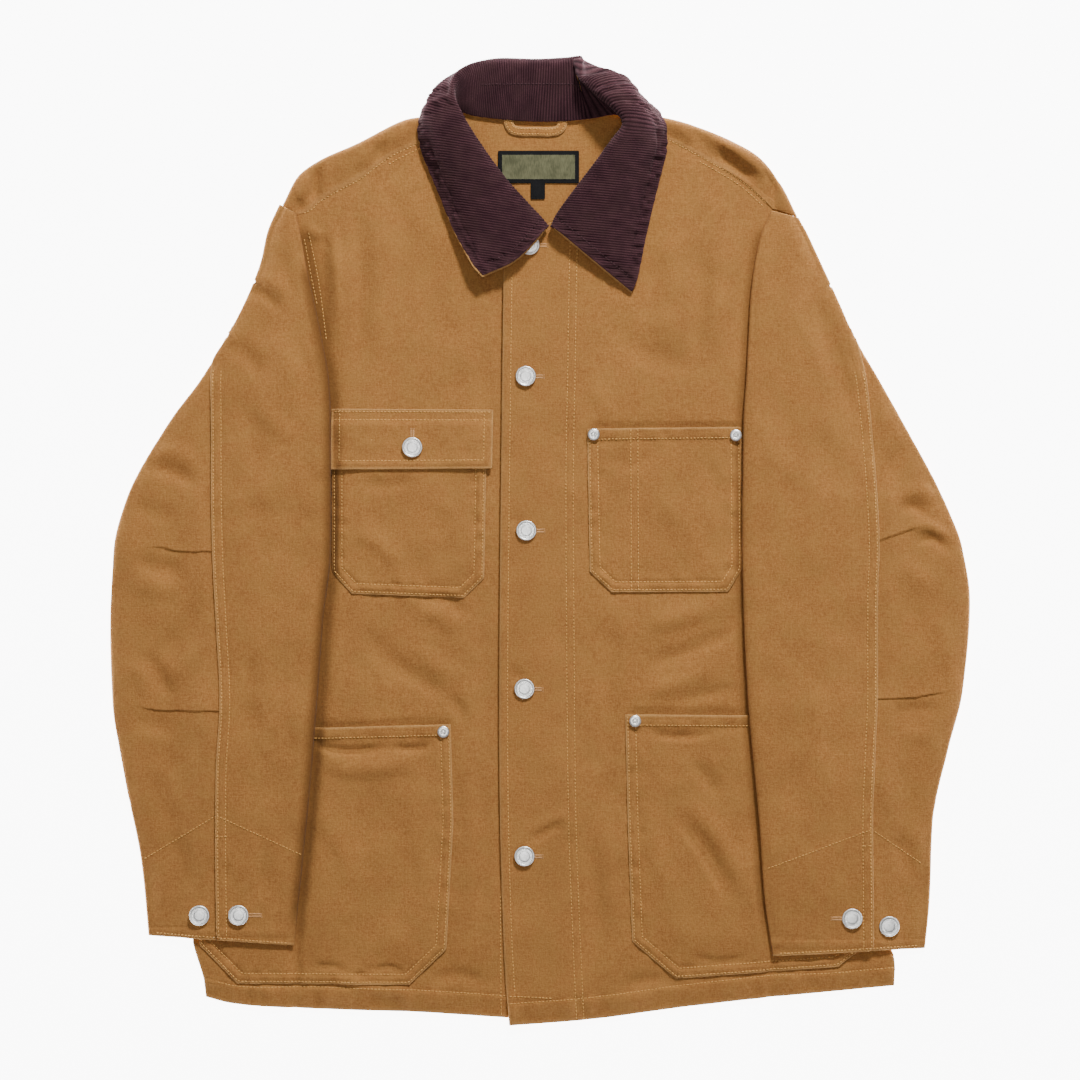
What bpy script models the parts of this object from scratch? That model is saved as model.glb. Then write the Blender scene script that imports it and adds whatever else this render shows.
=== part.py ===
"""Chore jacket in cotton duck with a corduroy collar, laid flat on its back.

The cut is written in millimetres and turned into metres when a mesh is made.
X runs across the jacket, Y from the hem to the collar, Z up from the surface.
"right" and "left" are the wearer's, so the wearer's right side lies at -X.
Tables for one side hold distances out from the centre line as positive numbers.
"""
from collections import namedtuple
from math import cos, pi, radians, sin

import bmesh
import bpy
from mathutils import Vector

MM = 0.001
CLOTH = 1.2            # wall of the duck canvas
CORDUROY = 1.4         # wall of the ribbed top collar
UNDER_COLLAR = 1.1     # wall of the canvas under collar
SEAM = 0.3             # gap between neighbouring pieces
LAY = 0.5              # gap under a piece that lies on a curved panel
RIGHT = -1
LEFT = 1

# Heights of the body's upper surface above the floor
SIDE_TOP = 2.9         # along the side seams and armholes
BODY_TOP = 4.5         # across the chest and belly
SIDE_REACH = 55.0      # the height is gained over this distance
LAP_FROM = 14.0        # the left front rides on the right one up to here
LAP_TO = 54.0          # and is back at the body's height here
LAP_RISE = CLOTH + 0.5

# Flattened sleeves
SLEEVE_LOFT = 5.6      # over both layers at an edge fold
SLEEVE_LAY = 0.7       # gap between a sleeve and the front beneath it
RAMP = 12.0            # width over which the lower layer climbs on to the body
HIP_PAD = CLOTH + LAY  # extra height over a hip pocket
CUFF_TUCK = 8.0        # the outer panel runs this far under the inner one at the cuff
CUFF_DROP = CLOTH + 0.6
CUFF_STEP = 10.0       # it steps down over this width beside the seam
TUCK_LIP = 1.0         # height of an elbow tuck's lip

# Outline of the body: armhole and side seam of the back and of the fronts, the
# sleeve's two ends that lie on them, as distances out from the centre line.
Body = namedtuple("Body", "y back front sleeve_back sleeve_front")
BODY = [
    Body(276.0, 208.7, 204.9, 205.7, 203.4),
    Body(229.0, 208.7, 202.0, 205.7, 199.0),
    Body(196.0, 209.2, 196.0, 206.2, 193.0),
    Body(164.0, 212.0, 190.5, 209.0, 187.5),
    Body(149.0, 216.0, 190.0, 213.0, 186.5),
    Body(131.0, 222.6, 193.0, 219.6, 190.0),
    Body(98.0, 239.0, 212.0, 236.0, 209.0),
    Body(65.0, 262.8, 245.0, 258.5, 241.0),
    Body(49.0, 275.0, 262.5, 265.2, 257.5),
    Body(32.0, 285.8, 285.8, 267.9, 267.5),
    Body(-150.0, 285.0, 285.0, 265.4, 265.0),
    Body(-331.0, 284.0, 284.0, 262.4, 262.0),
]

# Edges of the flattened sleeves: silhouette, fold over the chest, visible seam, and
# how much higher the outer end of a section lies than the end at the fold
Sleeve = namedtuple("Sleeve", "y outer fold seam tilt")
RIGHT_SLEEVE = [
    Sleeve(275.0, 213.4, 201.2, 213.0, 7.5),
    Sleeve(252.0, 223.5, 196.4, 223.5, 8.0),
    Sleeve(229.0, 228.6, 192.3, 228.6, 8.0),
    Sleeve(196.0, 241.5, 184.9, 241.5, 8.0),
    Sleeve(164.0, 258.7, 178.3, 259.0, 8.0),
    Sleeve(131.0, 278.4, 172.6, 269.4, 8.0),
    Sleeve(98.0, 303.0, 171.0, 269.2, 8.0),
    Sleeve(32.0, 339.5, 170.6, 268.6, 8.0),
    Sleeve(-8.0, 349.5, 171.0, 267.7, 8.0),
    Sleeve(-66.0, 352.4, 177.3, 264.8, 8.0),
    Sleeve(-132.0, 350.4, 182.2, 261.6, 8.0),
    Sleeve(-197.0, 340.0, 187.4, 264.8, 8.0),
    Sleeve(-263.0, 326.8, 194.0, 265.0, 8.0),
    Sleeve(-335.0, 320.0, 201.5, 264.2, 8.0),
]
LEFT_SLEEVE = [
    Sleeve(275.0, 207.0, 191.0, 206.0, -6.0),
    Sleeve(263.0, 212.4, 186.6, 212.0, -5.5),
    Sleeve(252.0, 218.5, 181.6, 218.5, -4.0),
    Sleeve(229.0, 229.4, 176.2, 229.4, 0.0),
    Sleeve(196.0, 244.6, 172.0, 244.6, 4.0),
    Sleeve(164.0, 259.2, 170.4, 257.5, 6.0),
    Sleeve(131.0, 278.0, 168.5, 266.5, 6.0),
    Sleeve(98.0, 296.5, 166.2, 270.5, 6.0),
    Sleeve(32.0, 331.5, 165.2, 275.6, 6.0),
    Sleeve(-8.0, 346.6, 165.2, 277.2, 6.0),
    Sleeve(-50.0, 352.4, 166.0, 275.9, 6.0),
    Sleeve(-123.0, 346.8, 169.3, 275.9, 6.0),
    Sleeve(-170.0, 335.0, 173.2, 274.0, 6.0),
    Sleeve(-233.0, 321.8, 179.2, 271.8, 6.0),
    Sleeve(-292.0, 319.6, 183.3, 272.4, 6.0),
    Sleeve(-343.0, 314.8, 190.6, 272.8, 6.0),
]

# Rows of a sleeve, from cap to cuff; the pairs that lie close are elbow tucks
Cut = namedtuple("Cut", "table cap cuff seam_top tucks tuck_end")
RIGHT_CUT = Cut(RIGHT_SLEEVE, 270.6, -327.5, 208.0, (-9.4, -139.0), 322.0)
LEFT_CUT = Cut(LEFT_SLEEVE, 266.2, -337.0, 208.0, (3.0, -129.0), 315.0)
SLEEVE_STEP = 32.0     # spacing of the rows between the named heights
SEAM_TOP_END = 164.0   # above this the visible seam runs on the underside
SEAM_TOP_WIDTH = 8.0   # width of the outer panel's upper end, beside the armhole
SEAM_STEP = 0.6        # gap between that end and the inner panel
SEAM_TURN_ROWS = (14.0, 7.0, 0.0, -7.0, -15.0, -24.0, -33.0)
TURN_GAP = 1.2         # extra gap where the seam crosses the outer fold
CUFF_DROP_ROWS = (-188.0, -208.0)
CUFF_TUCK_ROWS = (-211.0, -228.0)

# Shoulders: fold of the back panel, and the seam it meets the front along
SHOULDER_FOLD = {
    RIGHT: [(-210.8, 274.4), (-198.0, 298.1), (-180.8, 310.8), (-150.0, 324.6),
            (-111.1, 344.0), (-96.0, 346.6), (-77.5, 348.1)],
    LEFT: [(210.6, 265.2), (197.2, 291.5), (180.0, 312.6), (148.8, 330.4),
           (113.6, 343.2), (97.0, 346.6), (78.5, 347.6)],
}
SHOULDER_SEAM = {
    RIGHT: [(-201.2, 268.6), (-184.1, 277.4), (-168.5, 286.0), (-139.4, 302.4),
            (-105.5, 323.4), (-91.0, 332.6), (-77.0, 341.3)],
    LEFT: [(190.6, 271.6), (182.5, 279.6), (166.9, 293.4), (135.7, 312.2),
           (105.4, 328.6), (92.0, 335.0), (78.5, 341.0)],
}

# Neck seam, where the collar's stand is sewn on, from one front to the other
NECK_SEAM = [
    (0.4, 253.5), (-14.0, 262.0), (-30.0, 273.5), (-44.0, 287.0), (-55.5, 302.0),
    (-63.5, 317.0), (-69.0, 331.0), (-71.8, 342.0), (-67.0, 349.8), (-53.0, 347.6),
    (-29.4, 344.9), (-5.0, 343.2), (20.0, 343.6), (44.0, 346.0), (62.0, 348.4),
    (71.0, 343.5), (72.5, 331.0), (66.5, 312.0), (56.0, 296.0), (42.0, 281.0),
    (26.0, 268.0), (11.5, 257.0),
]
NECK_TURN = {RIGHT: 0.300, LEFT: 0.716}       # where the fronts meet the shoulders
NECK_BACK = (0.352, 0.655)                    # the back panel's share
NECK_UNDERLAP = 2.0                           # cloth under the stand's lower edge

HEM = {
    RIGHT: [(-273.5, -374.0), (-251.3, -379.4), (-171.0, -384.0),
            (-100.4, -386.2), (-29.1, -390.7), (9.8, -392.6)],
    LEFT: [(290.0, -364.8), (245.6, -368.8), (188.2, -374.2), (115.2, -382.4),
           (57.0, -390.4), (30.7, -393.2), (-25.0, -397.2)],
}
SIDE_FOOT = {
    RIGHT: [(-284.0, -331.0), (-279.5, -345.0), (-275.2, -358.0), (-273.5, -374.0)],
    LEFT: [(284.0, -331.0), (289.6, -340.0), (290.8, -352.0), (290.0, -364.8)],
}
BACK_HEM = [(-272.0, -371.0), (-170.0, -381.0), (0.0, -389.0), (115.0, -379.5),
            (288.0, -361.5)]
CENTRE_EDGE = {
    RIGHT: [(9.4, 252.0), (9.4, -120.0), (9.8, -392.6)],
    LEFT: [(-29.3, 242.5), (-31.6, 56.0), (-33.2, -123.0), (-32.4, -235.0),
           (-28.6, -350.0), (-25.0, -397.2)],
}

# Soft folds of the laid cloth that stand clear of the pockets
Fold = namedtuple("Fold", "x0 y0 x1 y1 width height")
BODY_FOLDS = [
    Fold(-150.0, 250.0, -158.0, 130.0, 20.0, 1.3),
    Fold(-108.0, 215.0, -120.0, 130.0, 18.0, 0.9),
    Fold(112.0, 285.0, 148.0, 150.0, 22.0, 1.4),
    Fold(-60.0, -60.0, -45.0, -150.0, 20.0, 0.9),
    Fold(118.0, -60.0, 96.0, -128.0, 20.0, 0.9),
]
SLEEVE_FOLDS = [
    Fold(-292.0, 92.0, -318.0, 12.0, 13.0, -1.4),
    Fold(-232.0, 150.0, -216.0, 10.0, 15.0, -1.0),
    Fold(-300.0, -30.0, -330.0, -110.0, 14.0, -1.2),
    Fold(-215.0, -60.0, -226.0, -190.0, 14.0, 0.8),
    Fold(298.0, 60.0, 322.0, 18.0, 12.0, -1.6),
    Fold(205.0, 190.0, 214.0, 20.0, 16.0, -1.1),
    Fold(310.0, -20.0, 298.0, -110.0, 14.0, -1.3),
    Fold(228.0, -60.0, 214.0, -200.0, 14.0, 0.8),
]

# Pockets: each row is one line across, from its outer or left end to the other
Line = namedtuple("Line", "x0 y0 x1 y1")
CHEST_POCKET_RIGHT = [Line(-170.1, 90.0, -43.9, 90.0), Line(-170.1, -25.8, -46.1, -31.0),
                      Line(-153.8, -43.6, -62.3, -47.2)]
CHEST_POCKET_LEFT = [Line(38.9, 90.6, 164.4, 92.2), Line(41.1, -25.8, 165.2, -23.4),
                     Line(58.6, -42.4, 153.8, -42.0)]
HIP_POCKET_RIGHT = [Line(-280.0, -156.4, -73.4, -151.3), Line(-279.6, -240.0, -71.3, -230.0),
                    Line(-278.4, -331.7, -77.0, -335.0), Line(-247.6, -362.8, -107.0, -363.8)]
HIP_POCKET_LEFT = [Line(70.1, -143.1, 280.5, -144.8), Line(72.2, -235.0, 281.6, -232.0),
                   Line(75.8, -328.4, 281.7, -321.0), Line(111.1, -358.9, 243.9, -349.0)]
CHEST_FLAP = [Line(-170.4, 107.0, -38.9, 106.2), Line(-170.5, 101.0, -38.9, 100.6),
              Line(-170.7, 93.0, -39.0, 93.0), Line(-171.2, 58.0, -39.6, 58.8)]
FLAP_CLIMB = (101.0, 93.0)       # the flap climbs on to its pocket between these

# Collar sections: fraction along the neck seam, height of the seam edge, the
# roll's middle, the free edge, the roll's turn in degrees and radius, and how far
# the fall bellies out sideways and up between roll and edge.
Section = namedtuple("Section", "seam seat rx ry rz ex ey ez turn roll out lift")
COLLAR = [
    Section(0.000, 8.0, 3.7, 260.6, 12.8, -45.8, 216.8, 21.0, 90, 4.5, 0, 1.0),
    Section(0.030, 6.4, -1.6, 265.8, 13.2, -52.0, 221.6, 20.0, 90, 4.5, 0, 2.0),
    Section(0.100, 4.9, -13.5, 277.8, 14.6, -61.0, 236.8, 15.5, 90, 4.6, 0, 4.0),
    Section(0.160, 4.9, -26.5, 294.0, 17.0, -71.0, 255.0, 12.0, 90, 4.6, 0, 5.5),
    Section(0.215, 4.9, -40.5, 313.0, 20.5, -81.0, 280.0, 9.6, 90, 5.0, 0, 6.5),
    Section(0.260, 4.9, -53.0, 331.0, 24.0, -90.5, 302.0, 8.8, 85, 5.0, 1.0, 6.5),
    Section(0.296, 4.9, -63.5, 349.0, 27.0, -97.4, 321.0, 8.6, 65, 5.0, 2.0, 6.5),
    Section(0.318, 4.9, -70.0, 361.0, 27.0, -99.6, 338.5, 8.6, 35, 5.0, 3.5, 6.5),
    Section(0.334, 5.0, -71.8, 370.6, 24.5, -97.0, 350.0, 7.8, 5, 5.0, 4.5, 6.0),
    Section(0.348, 5.0, -69.6, 379.0, 19.5, -89.0, 357.6, 4.6, -25, 4.8, 5.5, 4.5),
    Section(0.366, 4.8, -62.4, 386.4, 14.0, -77.0, 361.0, 2.0, -50, 5.0, 4.0, 2.0),
    Section(0.395, 4.8, -50.5, 392.2, 8.8, -60.0, 359.8, 0.8, -75, 5.2, 1.0, 0.4),
    Section(0.430, 4.8, -37.0, 394.6, 6.2, -40.0, 358.0, 0.6, -90, 5.2, 0, 0.4),
    Section(0.500, 4.8, -2.0, 394.2, 6.0, -2.0, 357.0, 0.6, -90, 5.2, 0, 0.4),
    Section(0.575, 4.8, 21.0, 395.4, 6.4, 34.0, 358.0, 0.6, -90, 5.2, 0, 0.4),
    Section(0.620, 5.2, 33.6, 395.8, 9.4, 52.0, 361.4, 0.6, -50, 5.4, 3.0, 0.5),
    Section(0.655, 5.6, 38.0, 388.5, 18.0, 66.0, 364.0, 0.8, -20, 5.4, 10.0, 1.5),
    Section(0.680, 5.6, 35.4, 376.0, 23.5, 79.0, 363.0, 2.2, 40, 5.4, 11.5, 4.0),
    Section(0.700, 5.2, 48.0, 361.0, 26.0, 91.0, 357.0, 5.0, 80, 5.2, 10.0, 6.5),
    Section(0.718, 5.0, 61.0, 348.4, 28.5, 99.0, 348.6, 7.8, 90, 5.0, 5.0, 6.5),
    Section(0.738, 5.0, 66.4, 339.0, 29.0, 103.4, 336.0, 8.6, 90, 5.0, 2.0, 6.5),
    Section(0.775, 5.0, 57.5, 325.6, 27.0, 103.2, 319.0, 8.8, 90, 5.0, 0, 6.5),
    Section(0.820, 5.0, 46.6, 311.4, 24.0, 98.8, 300.0, 8.8, 90, 5.0, 0, 6.5),
    Section(0.875, 5.4, 33.6, 294.0, 20.0, 92.0, 273.0, 9.0, 90, 4.8, 0, 5.5),
    Section(0.930, 6.6, 21.0, 277.4, 16.4, 85.4, 244.0, 9.4, 90, 4.6, 0, 4.0),
    Section(0.980, 7.0, 12.4, 264.8, 14.4, 79.0, 213.6, 10.0, 90, 4.5, 0, 2.0),
    Section(1.000, 7.2, 9.2, 259.2, 13.8, 75.0, 204.0, 10.4, 90, 4.5, 0, 1.0),
]
COLLAR_HALVES = (8, 9, 10, 14, 15, 16, 17, 18, 19)   # a row is added after these
COLLAR_LIFT = CORDUROY + SEAM      # from the top collar's face to the under collar's

# Hanger loop, label and size tab on the inside of the back
BACK_INSIDE = CLOTH
LOOP_OUTER = [(-30.0, 341.6), (-28.6, 336.0), (-24.5, 331.2), (-17.0, 329.2),
              (-4.0, 329.2), (10.0, 328.9), (18.6, 331.0), (22.8, 335.6), (24.4, 340.6)]
LOOP_WIDTH = 7.4
LOOP_WALL = 1.8
LABEL = Line(-34.0, 318.6, 31.6, 292.8)
SIZE_TAB = Line(-7.2, 292.5, 3.7, 279.6)
LABEL_WALL = 1.0

# Metal pieces
BUTTON_SIDES = 12
BUTTON_PROFILE = [(0.0, 3.9), (5.6, 3.9), (6.6, 4.7), (8.5, 3.9), (7.8, 2.7),
                  (4.0, 2.2), (4.0, 0.0), (0.0, 0.0)]
RIVET_SIDES = 10
RIVET_PROFILE = [(0.0, 0.6), (1.5, 0.6), (2.4, 1.3), (3.9, 1.1), (4.5, 0.4),
                 (4.5, 0.0), (0.0, 0.0)]
FRONT_BUTTONS = [(-8.6, 241.5), (-11.7, 134.1), (-11.2, 7.8), (-12.7, -121.8), (-12.7, -258.7)]
FLAP_BUTTON = (-104.5, 75.8)
CUFF_BUTTONS = {
    RIGHT: {"inner": (246.4, -306.7), "outer": (278.6, -307.1)},
    LEFT: {"inner": (255.2, -309.5), "outer": (285.8, -316.1)},
}
RIVETS = {
    "chest_left_inner": (43.9, 86.3), "chest_left_outer": (160.3, 85.7),
    "hip_right": (-79.1, -157.0), "hip_left": (77.9, -148.2),
}

CANVAS_TAN = (0.38, 0.185, 0.055)
CORDUROY_BROWN = (0.065, 0.028, 0.034)
NICKEL = (0.62, 0.61, 0.59)
LABEL_OLIVE = (0.14, 0.13, 0.085)
TAB_BLACK = (0.012, 0.011, 0.010)


# ---- small maths -------------------------------------------------------------

def mix(a, b, t):
    return a + (b - a) * t


def smooth(t):
    """0 before t = 0, 1 after t = 1, with a soft start and end."""
    t = min(max(t, 0.0), 1.0)
    return t * t * (3.0 - 2.0 * t)


def read(table, name, y):
    """A column of a table at height y, by a smooth curve that never overshoots."""
    ys = [row.y for row in table]
    values = [getattr(row, name) for row in table]
    if y >= ys[0]:
        return values[0]
    if y <= ys[-1]:
        return values[-1]
    i = next(k for k in range(len(ys) - 1) if y >= ys[k + 1])
    secant = [(values[k + 1] - values[k]) / (ys[k + 1] - ys[k]) for k in range(len(ys) - 1)]

    def slope(k):
        if k == 0 or k == len(ys) - 1:
            return secant[min(k, len(secant) - 1)]
        before, after = secant[k - 1], secant[k]
        if before * after <= 0.0:
            return 0.0
        return 2.0 * before * after / (before + after)

    step = ys[i + 1] - ys[i]
    t = (y - ys[i]) / step
    start = (1.0 + 2.0 * t) * (1.0 - t) ** 2 * values[i] + t * t * (3.0 - 2.0 * t) * values[i + 1]
    return start + step * (t * (1.0 - t) ** 2 * slope(i) - t * t * (1.0 - t) * slope(i + 1))


def spline(points, t):
    """Point at t, counted in points, on a centripetal Catmull-Rom curve."""
    points = [Vector(p) for p in points]
    last = len(points) - 1
    i = min(int(t), last - 1)
    b, c = points[i], points[i + 1]
    a = points[i - 1] if i > 0 else b + (b - c)
    d = points[i + 2] if i + 2 <= last else c + (c - b)
    knots = [0.0]
    for p, q in ((a, b), (b, c), (c, d)):
        knots.append(knots[-1] + max((q - p).length, 1e-6) ** 0.5)
    k0, k1, k2, k3 = knots
    k = mix(k1, k2, t - i)
    ab = a * ((k1 - k) / (k1 - k0)) + b * ((k - k0) / (k1 - k0))
    bc = b * ((k2 - k) / (k2 - k1)) + c * ((k - k1) / (k2 - k1))
    cd = c * ((k3 - k) / (k3 - k2)) + d * ((k - k2) / (k3 - k2))
    abc = ab * ((k2 - k) / (k2 - k0)) + bc * ((k - k0) / (k2 - k0))
    bcd = bc * ((k3 - k) / (k3 - k1)) + cd * ((k - k1) / (k3 - k1))
    return abc * ((k2 - k) / (k2 - k1)) + bcd * ((k - k1) / (k2 - k1))


def walk(points, fractions, rounded=True):
    """Points at fractions of the length of a curve, rounded or in straight runs."""
    fine = 8 if rounded else 1
    steps = (len(points) - 1) * fine
    if rounded:
        dense = [spline(points, k / fine) for k in range(steps + 1)]
    else:
        dense = [Vector(p) for p in points]
    reach = [0.0]
    for p, q in zip(dense, dense[1:]):
        reach.append(reach[-1] + (q - p).length)
    found = []
    for fraction in fractions:
        goal = fraction * reach[-1]
        k = next((n for n in range(steps) if reach[n + 1] >= goal), steps - 1)
        t = (goal - reach[k]) / (reach[k + 1] - reach[k])
        found.append(dense[k].lerp(dense[k + 1], min(max(t, 0.0), 1.0)))
    return found


def evenly(count):
    return [k / count for k in range(count + 1)]


def patch(top, bottom, first, second):
    """Rows of a four-sided cut piece, worked out from its four edges (Coons patch)."""
    rows = []
    for i, (a, b) in enumerate(zip(first, second)):
        v = i / (len(first) - 1)
        row = []
        for j, (c, d) in enumerate(zip(top, bottom)):
            u = j / (len(top) - 1)
            corners = top[0].lerp(top[-1], u).lerp(bottom[0].lerp(bottom[-1], u), v)
            row.append(a.lerp(b, u) + c.lerp(d, v) - corners)
        rows.append(row)
    return rows


# ---- how high the laid cloth lies ----------------------------------------------

def folds(table, x, y):
    """Height that soft folds add: a rounded ridge or trough along each line."""
    total = 0.0
    for fold in table:
        along = Vector((fold.x1 - fold.x0, fold.y1 - fold.y0))
        start = Vector((x - fold.x0, y - fold.y0))
        t = start.dot(along) / along.length_squared
        if -0.3 < t < 1.3:
            off = (start - along * t).length / fold.width
            ends = smooth((t + 0.3) / 0.5) * smooth((1.3 - t) / 0.5)
            total += fold.height * ends * smooth(1.0 - off / 1.8)
    return total


def body_top(x, y):
    """Upper face of the fronts where they lie on the back."""
    inside = read(BODY, "front", y) - abs(x)
    rise = smooth(inside / SIDE_REACH)
    return mix(SIDE_TOP, BODY_TOP, rise) + folds(BODY_FOLDS, x, y) * rise


def left_front_top(x, y):
    """The left front laps over the right one along the centre."""
    return body_top(x, y) + LAP_RISE * (1.0 - smooth((x - LAP_FROM) / (LAP_TO - LAP_FROM)))


def front_top(x, y):
    """Upper face of whichever front lies on top."""
    if x > CENTRE_EDGE[LEFT][1][0]:
        return left_front_top(x, y)
    return body_top(x, y)


def hip_pad(y):
    """Extra height of what lies over a hip pocket."""
    return HIP_PAD * smooth((-112.0 - y) / 26.0)


def on_body(side, out, y, on_front):
    """Lower face of cloth that lies on the body: on its front, or on its back only."""
    over_front = body_top(side * out, y) + SLEEVE_LAY + hip_pad(y)
    return mix(CLOTH + SEAM, over_front, on_front)


def lower_layer(side, out, y, on_front):
    """Lower face of a sleeve: on the floor, then up over the body's edge."""
    edge = read(BODY, "back", y)
    climb = smooth((edge + 1.5 + RAMP - out) / RAMP)
    return on_body(side, out, y, on_front) * climb


def upper_layer(side, out, y):
    """Upper face of a sleeve, higher where the body lies beneath it."""
    edge = read(BODY, "back", y)
    climb = smooth((edge + RAMP + 9.0 - out) / 32.0)
    return SLEEVE_LOFT + on_body(side, out, y, 1.0) * climb + folds(SLEEVE_FOLDS, side * out, y)


# ---- meshes ----------------------------------------------------------------------

def clear_scene():
    for thing in list(bpy.data.objects):
        bpy.data.objects.remove(thing, do_unlink=True)


def make_collection(name):
    collection = bpy.data.collections.new(name)
    bpy.context.scene.collection.children.link(collection)
    return collection


def make_material(name, colour, roughness, metallic=0.0):
    material = bpy.data.materials.new(name)
    material.use_nodes = True
    shader = material.node_tree.nodes["Principled BSDF"]
    shader.inputs["Base Color"].default_value = (*colour, 1.0)
    shader.inputs["Roughness"].default_value = roughness
    shader.inputs["Metallic"].default_value = metallic
    return material


def sheet_mesh(name, rows):
    """An open sheet over rows of points in millimetres; None leaves a point out."""
    mesh = bpy.data.meshes.new(name)
    build = bmesh.new()
    grid = []
    for row in rows:
        grid.append([None if p is None else build.verts.new(Vector(p) * MM) for p in row])
    for upper, lower in zip(grid, grid[1:]):
        for j in range(len(upper) - 1):
            corners = (upper[j], lower[j], lower[j + 1], upper[j + 1])
            if None not in corners:
                build.faces.new(corners)
    build.to_mesh(mesh)
    build.free()
    return mesh


def wall(name, rows, thickness, material, collection, flip=False):
    """A cloth wall: its outer face is the sheet, and the wall lies inside it."""
    if flip:
        rows = [list(reversed(row)) for row in rows]
    mesh = sheet_mesh(name, rows)
    mesh.materials.append(material)
    thing = bpy.data.objects.new(name, mesh)
    collection.objects.link(thing)
    solid = thing.modifiers.new("Wall", "SOLIDIFY")
    solid.thickness = thickness * MM
    solid.offset = -1.0
    return thing


def turned(name, profile, sides, place, material, collection):
    """A turned metal piece, from a profile that runs down its outer side."""
    mesh = bpy.data.meshes.new(name)
    points = [(radius * MM, 0.0, height * MM) for radius, height in profile]
    edges = [(k, k + 1) for k in range(len(points) - 1)]
    mesh.from_pydata(points, edges, [])
    mesh.materials.append(material)
    thing = bpy.data.objects.new(name, mesh)
    collection.objects.link(thing)
    thing.location = Vector(place) * MM
    screw = thing.modifiers.new("Turn", "SCREW")
    screw.steps = sides
    screw.render_steps = sides
    screw.use_merge_vertices = True
    screw.merge_threshold = 0.00001
    return thing


# ---- body ------------------------------------------------------------------------

def shoulder_fold_rows(side, columns):
    """Fold of the back panel over the shoulder, up to the seam with the front."""
    fold = walk(SHOULDER_FOLD[side], columns)
    seam = walk(SHOULDER_SEAM[side], columns)
    flat_end = []
    rows = [[] for _ in range(5)]
    for edge, join in zip(fold, seam):
        top = body_top(*join)
        radius = top / 2.0
        inward = (join - edge).normalized()
        middle = edge + inward * radius
        flat_end.append(middle)
        for row, angle in zip(rows, (-30.0, 30.0, 90.0)):
            turn = radians(angle)
            plan = middle - inward * radius * cos(turn)
            row.append(Vector((plan.x, plan.y, radius + radius * sin(turn))))
        end = join - inward * SEAM
        half = middle.lerp(end, 0.5)
        rows[3].append(Vector((half.x, half.y, body_top(*half))))
        rows[4].append(Vector((end.x, end.y, body_top(*end))))
    return flat_end, rows


def side_edge(side, column, y_top, count):
    """Points down a panel's armhole and side seam to the hem."""
    foot = SIDE_FOOT[side]
    points = []
    for k in range(count + 1):
        y = mix(y_top, foot[0][1], k / count)
        points.append(Vector((side * read(BODY, column, y), y)))
    return points + [Vector(p) for p in foot[1:]]


def neck_points(fractions, outward):
    """Points beside the neck seam, moved out from the neck or, below 0, into it."""
    points = []
    for fraction in fractions:
        before, here, after = walk(NECK_SEAM, (max(fraction - 0.01, 0.0), fraction,
                                               min(fraction + 0.01, 1.0)))
        along = (after - before).normalized()
        points.append(here + Vector((-along.y, along.x)) * outward)
    return points


def back_panel(material, collection):
    """One flat panel on the floor, its shoulders folded forward."""
    columns = evenly(6)
    right_flat, right_rows = shoulder_fold_rows(RIGHT, columns)
    left_flat, left_rows = shoulder_fold_rows(LEFT, columns)
    start, end = NECK_BACK
    neck = neck_points([mix(start, end, t) for t in evenly(7)], NECK_UNDERLAP)
    top = right_flat + neck + list(reversed(left_flat))
    total = top[-1].x - top[0].x
    shares = [(p.x - top[0].x) / total for p in top]
    bottom = walk(BACK_HEM, shares, rounded=False)
    first = walk(side_edge(RIGHT, "back", right_flat[0].y, 10), evenly(11), rounded=False)
    second = walk(side_edge(LEFT, "back", left_flat[0].y, 10), evenly(11), rounded=False)
    first[0], second[0] = top[0], top[-1]
    first[-1], second[-1] = bottom[0], bottom[-1]
    flat = [[Vector((p.x, p.y, 0.0)) for p in row] for row in patch(top, bottom, first, second)]
    gap = [None] * len(neck)
    raised = [right + gap + list(reversed(left)) for right, left in zip(right_rows, left_rows)]
    rows = list(reversed(raised)) + flat
    return wall("back_panel", rows, CLOTH, material, collection, flip=True)


def front_rows(side):
    """Plan of a front: shoulder seam, neckline and centre edge, side edge and hem."""
    seam = walk(SHOULDER_SEAM[side], evenly(6))
    top = walk(seam, evenly(12), rounded=False)
    hem = walk(HEM[side], evenly(12))
    turn = NECK_TURN[side]
    neck_end = 0.0 if side == RIGHT else 1.0
    fractions = [mix(turn, neck_end, t) for t in (0.1, 0.3, 0.5, 0.7, 0.9)]
    neckline = [top[-1]] + neck_points(fractions, -NECK_UNDERLAP)
    centre = CENTRE_EDGE[side]
    neckline = walk(neckline + [Vector(centre[0])], evenly(6))
    inner = neckline[:-1] + walk(centre, evenly(20))
    split = 196.0
    outer = [Vector((side * read(BODY, "front", mix(top[0].y, split, t)),
                     mix(top[0].y, split, t))) for t in evenly(6)]
    outer = outer[:-1] + walk(side_edge(side, "front", split, 14), evenly(20), rounded=False)
    outer[0] = top[0]
    outer[-1] = hem[0]
    inner[-1] = hem[-1]
    return patch(top, hem, outer, inner)


def front_panel(name, side, height, material, collection):
    rows = [[Vector((p.x, p.y, height(p.x, p.y))) for p in row] for row in front_rows(side)]
    return wall(name, rows, CLOTH, material, collection, flip=(side == LEFT))


# ---- sleeves ---------------------------------------------------------------------

Tube = namedtuple("Tube", "edge inward high low radius height_at")


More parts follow.
